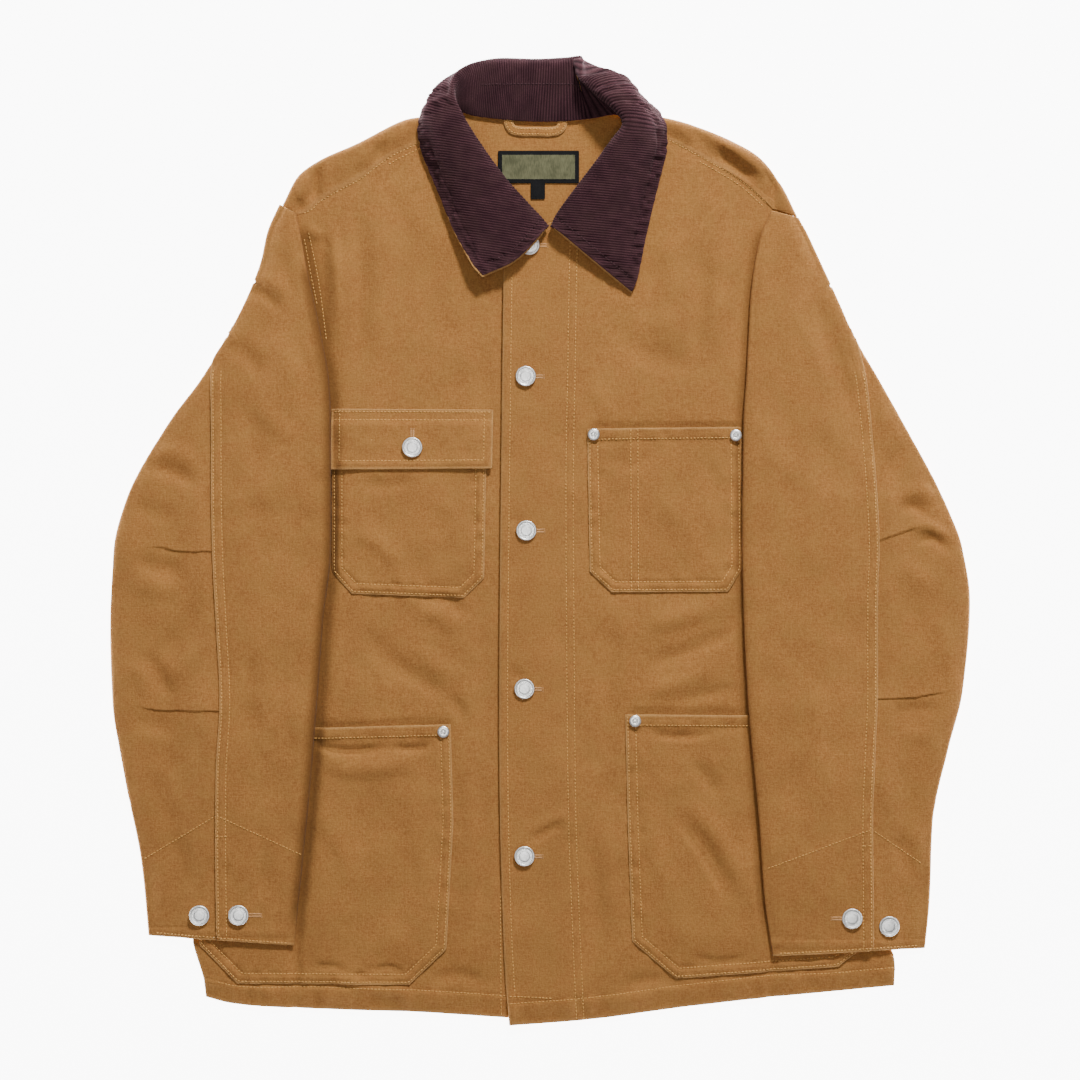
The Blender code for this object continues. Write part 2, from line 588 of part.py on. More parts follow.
def tube_at(side, cut, y, edge_name, on_front):
    """The flattened sleeve beside one of its edge folds, "outer" or "fold"."""
    tilt = read(cut.table, "tilt", y)
    outer = read(cut.table, "outer", y + tilt / 2.0)
    fold = read(cut.table, "fold", y - tilt / 2.0)
    edge, inward = (outer, -1.0) if edge_name == "outer" else (fold, 1.0)

    def height_at(out):
        return y + tilt * ((out - fold) / (outer - fold) - 0.5)

    near = edge + inward * SLEEVE_LOFT / 2.0
    high = upper_layer(side, near, height_at(near))
    low = lower_layer(side, near, height_at(near), on_front)
    return Tube(edge, inward, high, low, (high - low) / 2.0, height_at)


def sleeve_point(side, cut, y, edge_name, distance, on_front, sink=0.0):
    """A point of the flattened sleeve's outer face, measured along the cloth.

    The distance starts at the middle of an edge fold. It is positive over the
    upper layer and negative under the lower one.
    """
    tube = tube_at(side, cut, y, edge_name, on_front)
    quarter = tube.radius * pi / 2.0
    if abs(distance) < quarter:
        angle = distance / tube.radius
        out = tube.edge + tube.inward * tube.radius * (1.0 - cos(angle))
        z = (tube.high + tube.low) / 2.0 + tube.radius * sin(angle)
    else:
        out = tube.edge + tube.inward * (tube.radius + abs(distance) - quarter)
        if distance > 0.0:
            z = upper_layer(side, out, tube.height_at(out))
        else:
            z = lower_layer(side, out, tube.height_at(out), on_front)
    return Vector((side * out, tube.height_at(out), z - sink))


def under_at(side, cut, y, edge_name, column, offset, on_front):
    """Distance along the lower layer to a place beside one of the body's edges."""
    tube = tube_at(side, cut, y, edge_name, on_front)
    out = read(BODY, column, y) + offset
    out = read(BODY, column, tube.height_at(out)) + offset
    return -(abs(tube.edge - out) - tube.radius + tube.radius * pi / 2.0)


def seam_distance(side, cut, y):
    """Where the visible seam lies, from the outer edge fold."""
    armhole = under_at(side, cut, y, "outer", "sleeve_back", 0.0, 0.0)
    if y > cut.seam_top + SEAM_STEP:
        return armhole
    if y >= SEAM_TOP_END:
        return (armhole + SEAM_TOP_WIDTH) * (y - SEAM_TOP_END) / (cut.seam_top - SEAM_TOP_END)
    tube = tube_at(side, cut, y, "outer", 0.0)
    reach = max(tube.edge - read(cut.table, "seam", y), 0.0)
    quarter = tube.radius * pi / 2.0
    if reach < tube.radius:
        return quarter * reach / tube.radius
    return reach - tube.radius + quarter


def sleeve_heights(cut, top):
    """Heights of a sleeve's rows: even steps, and close pairs at the tucks."""
    marks = [cut.cuff, top, cut.seam_top, 49.0, 32.0]
    marks += [SEAM_TOP_END + step for step in SEAM_TURN_ROWS]
    marks += CUFF_DROP_ROWS + CUFF_TUCK_ROWS
    marks += [cut.seam_top + SEAM_STEP, cut.seam_top + SEAM_STEP + SEAM_TOP_WIDTH / 2.0]
    for tuck in cut.tucks:
        marks += [tuck + 9.0, tuck + 0.8, tuck - 0.8]
    marks = sorted({m for m in marks if m <= top}, reverse=True)
    heights = []
    for here, after in zip(marks, marks[1:]):
        count = max(1, round((here - after) / SLEEVE_STEP))
        heights += [mix(here, after, k / count) for k in range(count)]
    return heights + [marks[-1]]


def spaced(wanted, start, way, least):
    """Distances that keep the wanted order and never lie closer than least."""
    found = [start]
    for want in wanted:
        step = found[-1] + way * least
        found.append(max(want, step) if way > 0.0 else min(want, step))
    return found


def inner_sleeve_row(side, cut, y):
    """From the visible seam over the chest fold to the seam or armhole beneath."""
    start = seam_distance(side, cut, y)
    arc = SLEEVE_LOFT * pi / 4.0
    beside_back = under_at(side, cut, y, "outer", "back", 1.0, 0.0)
    first = spaced((beside_back, -arc, 0.0, arc), start, 1.0, 2.2)
    row = [sleeve_point(side, cut, y, "outer", distance, 0.0) for distance in first]
    outer_tube = tube_at(side, cut, y, "outer", 0.0)
    fold_tube = tube_at(side, cut, y, "fold", 1.0)
    out = outer_tube.edge - (outer_tube.radius + first[-1] - outer_tube.radius * pi / 2.0)
    far = out - fold_tube.edge - fold_tube.radius + fold_tube.radius * pi / 2.0
    for t in (0.25, 0.55, 0.8):
        row.append(sleeve_point(side, cut, y, "fold", mix(far, arc, t), 1.0))
    end = under_at(side, cut, y, "fold", "sleeve_front", 0.0, 1.0)
    last = spaced((mix(-arc, end, 0.35), mix(-arc, end, 0.7), end), -arc, -1.0, 0.4)
    for distance in [arc, 0.4 * arc, -0.4 * arc] + last:
        row.append(sleeve_point(side, cut, y, "fold", distance, 1.0))
    return row


def outer_sleeve_row(side, cut, y):
    """From the visible seam over the silhouette to the seam or armhole beneath."""
    drop = smooth((CUFF_DROP_ROWS[0] - y) / (CUFF_DROP_ROWS[0] - CUFF_DROP_ROWS[1]))
    under = smooth((CUFF_TUCK_ROWS[0] - y) / (CUFF_TUCK_ROWS[0] - CUFF_TUCK_ROWS[1]))
    seam = seam_distance(side, cut, y)
    start = seam - SEAM - TURN_GAP * (1.0 - smooth(abs(seam) / 9.0)) + CUFF_TUCK * under
    on_front = smooth((70.0 - y) / 26.0)
    arc = SLEEVE_LOFT * pi / 4.0
    step_end = max(seam - CUFF_STEP, mix(seam - 2.0, arc, 0.35))
    wanted = [seam - 2.0, step_end, mix(step_end, arc, 0.5)]
    wanted += [arc, 0.4 * arc, -0.4 * arc, -arc]
    for offset in (RAMP + 1.5, RAMP / 2.0 + 1.0, 1.0):
        wanted.append(under_at(side, cut, y, "outer", "back", offset, on_front))
    wanted.append(under_at(side, cut, y, "outer", "sleeve_back", 0.0, on_front))
    least = min(1.5, (start - wanted[-1]) / len(wanted))
    row = []
    for distance in spaced(wanted, start, -1.0, least):
        sink = CUFF_DROP * drop * smooth((distance - seam + CUFF_STEP) / (CUFF_STEP - 2.0))
        row.append(sleeve_point(side, cut, y, "outer", distance, on_front, sink))
    for point in row[:5]:
        point.z += tuck_lip(side, cut, point, y)
    return row


def tuck_lip(side, cut, point, y):
    """Raised lip above an elbow tuck, fading away from the seam."""
    lip = 0.0
    for tuck in cut.tucks:
        if tuck < y < tuck + 12.0:
            across = smooth((cut.tuck_end - side * point.x) / 30.0)
            lip += TUCK_LIP * across * (1.0 - (y - tuck) / 12.0)
    return lip


def sleeve(label, side, cut, material, collection):
    flip = side == RIGHT
    rows = [inner_sleeve_row(side, cut, y) for y in sleeve_heights(cut, cut.cap)]
    wall("sleeve_%s_inner" % label, rows, CLOTH, material, collection, flip=not flip)
    rows = [outer_sleeve_row(side, cut, y) for y in sleeve_heights(cut, cut.seam_top)]
    wall("sleeve_%s_outer" % label, rows, CLOTH, material, collection, flip=flip)


# ---- collar ----------------------------------------------------------------------

def collar_values(t):
    """The collar's section at t; the roll and the free edge run on smooth curves."""
    i = min(int(t), len(COLLAR) - 2)
    row = Section(*(mix(a, b, t - i) for a, b in zip(COLLAR[i], COLLAR[i + 1])))
    rx, ry, rz = spline([(s.rx, s.ry, s.rz) for s in COLLAR], t)
    ex, ey, ez = spline([(s.ex, s.ey, s.ez) for s in COLLAR], t)
    return row._replace(rx=rx, ry=ry, rz=rz, ex=ex, ey=ey, ez=ez)


def collar_section(t):
    """Section through the collar: seam edge, stand, roll, fall, free edge."""
    here = collar_values(t)
    last = len(COLLAR) - 1
    before = collar_values(max(t - 0.2, 0.0))
    after = collar_values(min(t + 0.2, last))
    along = Vector((after.rx - before.rx, after.ry - before.ry, 0.0)).normalized()
    outward = Vector((-along.y, along.x, 0.0))
    up = Vector((0.0, 0.0, 1.0))
    turn = radians(here.turn)
    ahead = outward * cos(turn) + up * sin(turn)
    inside = outward * sin(turn) - up * cos(turn)
    seam_plan = walk(NECK_SEAM, (min(max(here.seam, 0.0), 1.0),))[0]
    seam = Vector((seam_plan.x, seam_plan.y, here.seat))
    roll = Vector((here.rx, here.ry, here.rz))
    edge = Vector((here.ex, here.ey, here.ez))
    stand_top = roll + (inside - ahead) * here.roll
    fall_top = roll + (inside + ahead) * here.roll
    belly = fall_top.lerp(edge, 0.5) + outward * here.out + up * here.lift
    points = [seam, stand_top, roll, fall_top, belly, edge]
    return [spline(points, k) for k in (0.0, 0.5, 1.0, 1.5, 2.0, 2.5, 3.0, 3.5, 4.0, 4.5, 5.0)]


def collar_rows():
    places = list(range(len(COLLAR))) + [k + 0.5 for k in COLLAR_HALVES]
    return [collar_section(t) for t in sorted(places)]


def moved_in(rows, distance):
    """The same sheet moved to its inner side along its own normals."""
    sheet = sheet_mesh("sheet", rows)
    normals = [vertex.normal.copy() for vertex in sheet.vertices]
    bpy.data.meshes.remove(sheet)
    across = len(rows[0])
    return [[point - normals[i * across + j] * distance for j, point in enumerate(row)]
            for i, row in enumerate(rows)]


def collar(corduroy, canvas, collection):
    rows = collar_rows()
    wall("collar_upper", rows, CORDUROY, corduroy, collection)
    under = moved_in(rows, COLLAR_LIFT)
    wall("collar_under", under, UNDER_COLLAR, canvas, collection)


# ---- what lies on the panels -------------------------------------------------------

def lines_to_rows(lines, across, longest=22.0):
    """Plan rows of a flat piece, filled in between its named lines."""
    rows = []
    for here, after in zip(lines, lines[1:]):
        drop = max(abs(here.y0 - after.y0), abs(here.y1 - after.y1))
        count = max(1, round(drop / longest))
        for k in range(count):
            line = Line(*(mix(a, b, k / count) for a, b in zip(here, after)))
            rows.append(line)
    rows.append(lines[-1])
    return [[Vector((mix(r.x0, r.x1, t), mix(r.y0, r.y1, t))) for t in evenly(across)]
            for r in rows]


def laid_piece(name, lines, across, height, material, collection):
    """A patch laid on a front: its upper face follows the panel beneath it."""
    rows = [[Vector((p.x, p.y, height(p.x, p.y))) for p in row]
            for row in lines_to_rows(lines, across)]
    return wall(name, rows, CLOTH, material, collection)


def patch_height(x, y):
    return front_top(x, y) + LAY + CLOTH


def flap_height(x, y):
    start, end = FLAP_CLIMB
    climb = smooth((start - y) / (start - end))
    return patch_height(x, y) + (CLOTH + SEAM) * climb


def pockets(material, collection):
    laid_piece("chest_pocket_right", CHEST_POCKET_RIGHT, 6, patch_height, material, collection)
    laid_piece("chest_pocket_left", CHEST_POCKET_LEFT, 6, patch_height, material, collection)
    laid_piece("hip_pocket_right", HIP_POCKET_RIGHT, 9, patch_height, material, collection)
    laid_piece("hip_pocket_left", HIP_POCKET_LEFT, 9, patch_height, material, collection)
    laid_piece("chest_flap_right", CHEST_FLAP, 6, flap_height, material, collection)


def flat_tag(name, box, wall_thickness, material, collection):
    """A flat tag sewn on the inside of the back."""
    z = BACK_INSIDE + SEAM + wall_thickness
    rows = [[Vector((x, y, z)) for x in (box.x0, box.x1)] for y in (box.y0, box.y1)]
    return wall(name, rows, wall_thickness, material, collection)


def hanger_loop(material, collection):
    """A folded strip bent into a flat U under the back neck seam."""
    outer = walk(LOOP_OUTER, evenly(16))
    rows = []
    z = BACK_INSIDE + SEAM + LOOP_WALL
    for i, point in enumerate(outer):
        along = (outer[min(i + 1, 16)] - outer[max(i - 1, 0)]).normalized()
        inner = point + Vector((-along.y, along.x)) * LOOP_WIDTH
        rows.append([Vector((point.x, point.y, z)), Vector((inner.x, inner.y, z))])
    return wall("hanger_loop", rows, LOOP_WALL, material, collection)


def buttons(material, collection):
    for number, (x, y) in enumerate(FRONT_BUTTONS, start=1):
        place = (x, y, left_front_top(x, y) + SEAM)
        turned("button_front_%d" % number, BUTTON_PROFILE, BUTTON_SIDES, place, material, collection)
    x, y = FLAP_BUTTON
    turned("button_flap", BUTTON_PROFILE, BUTTON_SIDES, (x, y, flap_height(x, y) + LAY),
           material, collection)
    for side, label in ((RIGHT, "right"), (LEFT, "left")):
        for panel, (out, y) in CUFF_BUTTONS[side].items():
            place = (side * out, y, upper_layer(side, out, y) + LAY + SEAM)
            turned("button_cuff_%s_%s" % (label, panel), BUTTON_PROFILE, BUTTON_SIDES, place,
                   material, collection)


def rivets(material, collection):
    for label, (x, y) in RIVETS.items():
        place = (x, y, patch_height(x, y) + SEAM)
        turned("rivet_%s" % label, RIVET_PROFILE, RIVET_SIDES, place, material, collection)


def main():
    clear_scene()
    jacket = make_collection("chore_jacket")
    canvas = make_material("duck_canvas", CANVAS_TAN, 0.9)
    corduroy = make_material("corduroy", CORDUROY_BROWN, 0.95)
    nickel = make_material("nickel_plate", NICKEL, 0.35, 1.0)
    olive = make_material("woven_label", LABEL_OLIVE, 0.8)
    black = make_material("woven_tab", TAB_BLACK, 0.8)
    back_panel(canvas, jacket)
    front_panel("front_right", RIGHT, body_top, canvas, jacket)
    front_panel("front_left", LEFT, left_front_top, canvas, jacket)
    sleeve("right", RIGHT, RIGHT_CUT, canvas, jacket)
    sleeve("left", LEFT, LEFT_CUT, canvas, jacket)
    collar(corduroy, canvas, jacket)
    pockets(canvas, jacket)
    hanger_loop(canvas, jacket)
    flat_tag("neck_label", LABEL, LABEL_WALL, olive, jacket)
    flat_tag("size_tab", SIZE_TAB, LABEL_WALL, black, jacket)
    buttons(nickel, jacket)
    rivets(nickel, jacket)


main()
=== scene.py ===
# %% [markdown]
# # A chore jacket in cotton duck, laid flat on its back
#
# The jacket is a flat stack of cut cloth: a back panel, two fronts, two sleeves that are
# flattened tubes, a corduroy collar and the pockets. The imported model gives each piece's
# place, and this lesson dresses it: every cloth piece is made again as a thin shell with its
# creases, puckers and sewing. A cloth simulation would also lay cloth, but a laid and pressed
# jacket keeps creases whose places are known, so listed heights fit it better.

# %% The imported jacket
import math
from collections import namedtuple

import bpy
import numpy as np
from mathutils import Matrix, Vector
from mathutils.bvhtree import BVHTree


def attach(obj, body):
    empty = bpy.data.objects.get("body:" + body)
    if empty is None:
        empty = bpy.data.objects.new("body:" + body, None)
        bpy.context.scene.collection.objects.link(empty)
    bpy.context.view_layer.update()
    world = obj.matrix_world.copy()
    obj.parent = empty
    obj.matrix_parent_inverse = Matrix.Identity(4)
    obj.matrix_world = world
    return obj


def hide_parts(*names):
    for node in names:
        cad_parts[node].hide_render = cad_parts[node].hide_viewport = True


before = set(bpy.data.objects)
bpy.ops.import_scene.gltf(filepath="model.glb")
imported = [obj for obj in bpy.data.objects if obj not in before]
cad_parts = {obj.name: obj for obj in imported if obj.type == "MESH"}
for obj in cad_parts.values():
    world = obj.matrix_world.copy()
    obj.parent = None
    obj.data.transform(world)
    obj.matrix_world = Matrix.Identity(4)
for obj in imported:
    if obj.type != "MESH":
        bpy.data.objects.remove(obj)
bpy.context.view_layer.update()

print("packed nodes:", len(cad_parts))

# %% [markdown]
# ## Measures and small maths
#
# All sizes are in millimetres and become metres when a mesh is made. X runs across the
# jacket, Y from the hem to the collar and Z up. "right" and "left" are the wearer's, so the
# wearer's right side lies at -X. NumPy works on whole rows of points at once, which keeps a
# mesh of many thousand points quick to make.

# %% Small maths
MM = 0.001
RIGHT, LEFT = -1, 1


def mix(a, b, t):
    return a + (b - a) * t


def smooth(t):
    """0 before t = 0 and 1 after t = 1, with a soft start and end."""
    t = np.clip(t, 0.0, 1.0)
    return t * t * (3.0 - 2.0 * t)


def hump(distance, reach):
    """1 on a line, falling softly to 0 at reach on either side of it."""
    return smooth(1.0 - np.abs(distance) / reach)


def above(z, floor, soft=0.3):
    """Heights kept above a floor, with a soft turn where they meet it."""
    return floor + soft * np.logaddexp(0.0, (z - floor) / soft)


def evenly(count):
    return np.linspace(0.0, 1.0, count + 1)


def unit(vectors):
    length = np.linalg.norm(vectors, axis=-1, keepdims=True)
    return vectors / np.maximum(length, 1e-9)


def spline(points, places):
    """Points on a centripetal Catmull-Rom curve at places counted in points."""
    points = np.asarray(points, float)
    places = np.atleast_1d(np.asarray(places, float))
    padded = np.vstack([2 * points[0] - points[1], points, 2 * points[-1] - points[-2]])
    start = np.clip(places.astype(int), 0, len(points) - 2)
    a, b, c, d = (padded[start + k] for k in range(4))
    gaps = [np.maximum(np.linalg.norm(q - p, axis=1), 1e-6) ** 0.5
            for p, q in ((a, b), (b, c), (c, d))]
    k0 = np.zeros(len(start))[:, None]
    k1 = k0 + gaps[0][:, None]
    k2 = k1 + gaps[1][:, None]
    k3 = k2 + gaps[2][:, None]
    k = mix(k1, k2, (places - start)[:, None])
    ab = a * (k1 - k) / (k1 - k0) + b * (k - k0) / (k1 - k0)
    bc = b * (k2 - k) / (k2 - k1) + c * (k - k1) / (k2 - k1)
    cd = c * (k3 - k) / (k3 - k2) + d * (k - k2) / (k3 - k2)
    abc = ab * (k2 - k) / (k2 - k0) + bc * (k - k0) / (k2 - k0)
    bcd = bc * (k3 - k) / (k3 - k1) + cd * (k - k1) / (k3 - k1)
    return abc * (k2 - k) / (k2 - k1) + bcd * (k - k1) / (k2 - k1)


def reach_of(line):
    """Length along a line up to each of its points."""
    steps = np.linalg.norm(np.diff(line, axis=0), axis=1)
    return np.concatenate([[0.0], np.cumsum(steps)])


def at_lengths(line, lengths):
    line = np.asarray(line, float)
    reach = reach_of(line)
    return np.stack([np.interp(lengths, reach, line[:, k]) for k in range(line.shape[1])], axis=1)


def walk(points, fractions, rounded=True):
    """Points at fractions of the length of a curve, rounded or in straight runs."""
    line = np.asarray(points, float)
    if rounded:
        line = spline(line, np.linspace(0, len(line) - 1, (len(line) - 1) * 16 + 1))
    return at_lengths(line, np.asarray(fractions) * reach_of(line)[-1])


def column(table, name, y):
    """A column of a table at heights y, by a smooth curve that never overshoots."""
    ys = np.array([row.y for row in table])[::-1]
    values = np.array([getattr(row, name) for row in table], float)[::-1]
    secant = np.diff(values) / np.diff(ys)
    slope = np.concatenate([secant[:1], np.zeros(len(ys) - 2), secant[-1:]])
    before, after = secant[:-1], secant[1:]
    same_way = before * after > 0.0
    slope[1:-1][same_way] = (2 * before * after)[same_way] / (before + after)[same_way]
    y = np.clip(y, ys[0], ys[-1])
    k = np.clip(np.searchsorted(ys, y) - 1, 0, len(ys) - 2)
    step = ys[k + 1] - ys[k]
    t = (y - ys[k]) / step
    ends = (1 + 2 * t) * (1 - t) ** 2 * values[k] + t * t * (3 - 2 * t) * values[k + 1]
    return ends + step * (t * (1 - t) ** 2 * slope[k] - t * t * (1 - t) * slope[k + 1])


# %% Places beside a line, and soft noise
def beside(line, x, y):
    """Signed distance from a line, positive on its left, and the fraction along it."""
    line = np.asarray(line, float)
    reach = reach_of(line)
    near = np.full(x.shape, 1e9)
    side = np.zeros(x.shape)
    along = np.zeros(x.shape)
    for k in range(len(line) - 1):
        (ax, ay), (bx, by) = line[k], line[k + 1]
        length = max(math.hypot(bx - ax, by - ay), 1e-9)
        dx, dy = (bx - ax) / length, (by - ay) / length
        run = np.clip((x - ax) * dx + (y - ay) * dy, 0.0, length)
        gap = np.hypot(x - ax - dx * run, y - ay - dy * run)
        turn = np.where(dx * (y - ay) - dy * (x - ax) >= 0.0, 1.0, -1.0)
        closer = gap < near
        near = np.where(closer, gap, near)
        side = np.where(closer, gap * turn, side)
        along = np.where(closer, (reach[k] + run) / reach[-1], along)
    return side, along


LATTICE = np.random.default_rng(11).uniform(-1.0, 1.0, (256, 256))


def noise(x, y, size, seed=0):
    """Soft random heights between -1 and 1 whose bumps are about size wide."""
    u, v = x / size + 37.3 * seed, y / size + 91.7 * seed
    i, j = np.floor(u).astype(int), np.floor(v).astype(int)
    fu, fv = smooth(u - i), smooth(v - j)
    corner = [LATTICE[(i + di) % 256, (j + dj) % 256] for di in (0, 1) for dj in (0, 1)]
    return mix(mix(corner[0], corner[1], fv), mix(corner[2], corner[3], fv), fu)


Crease = namedtuple("Crease", "x0 y0 x1 y1 x2 y2 width depth lean")


def creases(table, x, y):
    """Soft troughs and ridges along short curves; lean makes one flank the wider."""
    x, y = np.broadcast_arrays(np.atleast_1d(np.asarray(x, float)), y)
    total = np.zeros(x.shape)
    for c in table:
        line = spline([(c.x0, c.y0), (c.x1, c.y1), (c.x2, c.y2)], np.linspace(0, 2, 9))
        low, high = line.min(axis=0) - 2 * c.width, line.max(axis=0) + 2 * c.width
        near = (x > low[0]) & (x < high[0]) & (y > low[1]) & (y < high[1])
        if near.any():
            off, along = beside(line, x[near], y[near])
            width = c.width * np.where(off > 0.0, 1.0 + c.lean, 1.0 - c.lean)
            ends = smooth(along / 0.35) * smooth((1.0 - along) / 0.35)
            total[near] += c.depth * ends * smooth(1.0 - np.abs(off) / (1.6 * width))
    return total


# %% [markdown]
# ## Camera, table and light
#
# The jacket lies on a pale table and the camera looks straight down from 3.5 m with a long
# lens, so a millimetre is nearly the same size all over it. One lamp of moderate size stands
# beyond the collar, a little to the right, and draws the soft but clear shadows under the
# collar and flap. A wide, weak lamp and a grey sky fill them.

# %% Camera, table and light
VIEW_WIDTH = 885.6          # millimetres across the square view
CAMERA_HEIGHT = 3500.0
SENSOR = 36.0


def srgb(code):
    """A hex colour turned to the linear values that a shader takes."""
    parts = [int(code[k:k + 2], 16) / 255.0 for k in (1, 3, 5)]
    return tuple(p / 12.92 if p <= 0.04045 else ((p + 0.055) / 1.055) ** 2.4 for p in parts) + (1.0,)


def add(tree, kind, links=None, **settings):
    """Adds a node: settings are its own options, links are sockets or constants."""
    made = tree.nodes.new(kind)
    for name, value in settings.items():
        setattr(made, name, value)
    for name, source in (links or {}).items():
        if isinstance(source, bpy.types.NodeSocket):
            tree.links.new(source, made.inputs[name])
        else:
            made.inputs[name].default_value = source
    return made


def new_object(name, data):
    thing = bpy.data.objects.new(name, data)
    bpy.context.scene.collection.objects.link(thing)
    return thing


def new_piece(name, points, faces, materials, smoothed=True):
    """A mesh object from points in millimetres; the caller adds what else it carries."""
    mesh = bpy.data.meshes.new(name)
    mesh.from_pydata((np.array(points) * MM).tolist(), [], faces)
    for material in materials:
        mesh.materials.append(material)
    mesh.polygons.foreach_set("use_smooth", np.full(len(mesh.polygons), smoothed))
    mesh.update()
    return new_object(name, mesh)


def new_material(name, settings):
    """A material, its nodes and its shader, with constants set on the shader's sockets."""
    material = bpy.data.materials.new(name)
    material.use_nodes = True
    shader = material.node_tree.nodes["Principled BSDF"]
    for socket, value in settings.items():
        shader.inputs[socket].default_value = value
    return material, material.node_tree, shader


def place(name, data, location, look_at=(0.0, 0.0, 0.0)):
    thing = new_object(name, data)
    thing.location = Vector(location) * MM
    way = Vector(look_at) * MM - thing.location
    thing.rotation_euler = way.to_track_quat("-Z", "Y").to_euler()
    return thing


view = bpy.data.cameras.new("camera")
view.sensor_width = SENSOR
view.lens = SENSOR * CAMERA_HEIGHT / VIEW_WIDTH
view.clip_end = 20.0
camera = place("camera", view, (0.0, 0.0, CAMERA_HEIGHT))
camera.rotation_euler = (0.0, 0.0, 0.0)
bpy.context.scene.camera = camera

Lamp = namedtuple("Lamp", "name x y z size power")
LAMPS = [Lamp(*row) for row in [
    ("key", 640.0, 2350.0, 1850.0, 420.0, 114.0),
    ("overhead", -150.0, -60.0, 3650.0, 1700.0, 30.0),
]]
for lamp in LAMPS:
    light = bpy.data.lights.new(lamp.name, "AREA")
    light.shape = "DISK"
    light.size = lamp.size * MM
    light.energy = lamp.power
    place(lamp.name, light, (lamp.x, lamp.y, lamp.z))

sky = bpy.data.worlds.new("sky")
bpy.context.scene.world = sky
sky.use_nodes = True
SKY_STRENGTH = 0.26         # weak, so that the shadows under the collar stay clear
glow = sky.node_tree.nodes["Background"].inputs
glow["Color"].default_value = srgb("#F4F6FA")
glow["Strength"].default_value = SKY_STRENGTH

TABLE_REACH = 6000.0
TABLE_DROP = 0.4            # the table lies just below the cloth, so the two never share a plane
TABLE_GLOW = 9.0            # a light table: it glows from below, so it stays white round the cloth
table_paint = new_material("matt_white_table", {
    "Base Color": srgb("#F7F7F5"), "Roughness": 0.9,
    "Emission Color": srgb("#FFFFFF"), "Emission Strength": TABLE_GLOW})[0]
table = new_piece("table", [(x * TABLE_REACH, y * TABLE_REACH, -TABLE_DROP)
                            for x, y in ((-1, -1), (1, -1), (1, 1), (-1, 1))],
                  [(0, 1, 2, 3)], [table_paint], smoothed=False)
print("field of view %.0f mm, lamps %d" % (VIEW_WIDTH, len(LAMPS)))

# %% [markdown]
# ## Cotton duck
#
# Duck is a heavy plain-woven cotton canvas, here piece-dyed tan and then washed. Close up it
# is a grid of plump threads; from a metre away the eye reads a dry, matt cloth with fine
# grain, short lighter slubs along both thread directions, and paler rims where sewn edges
# have rubbed in the wash. The grid is two sets of bands in the cloth's plane, the slubs are
# noise drawn out along the threads, and the rubbed rims come from a value stored on each
# point of the meshes. Below 0 that value is painted shade: a dark brown painted into the
# furrow beside a sleeve and onto the sleeve's roll by the chest, on top of the furrow's own
# shadow.

# %% Duck
THREAD = 1.1       # spacing of the drawn threads in mm; the real 0.55 is too fine to show
SLUB = 3.4         # length of a slub in mm
MOTTLE = 45.0      # size of the washed patches in mm
TINT = 17.0        # size of the patches where the dye has turned yellower
BAND_SCALE = 0.314     # at scale 1 a wave node's bands repeat every 0.314 m
WEAVE_RISE = 0.28      # how high the drawn threads stand in mm


EVEN = (1.0, 1.0, 1.0)


def grain(tree, where, stretch, size, detail=2.0):
    """Noise drawn out by stretch (x, y, z), its size in mm."""
    drawn = add(tree, "ShaderNodeMapping", {"Vector": where, "Scale": stretch})
    return add(tree, "ShaderNodeTexNoise", {"Vector": drawn.outputs["Vector"],
                                            "Scale": 1.0 / (size * MM), "Detail": detail})


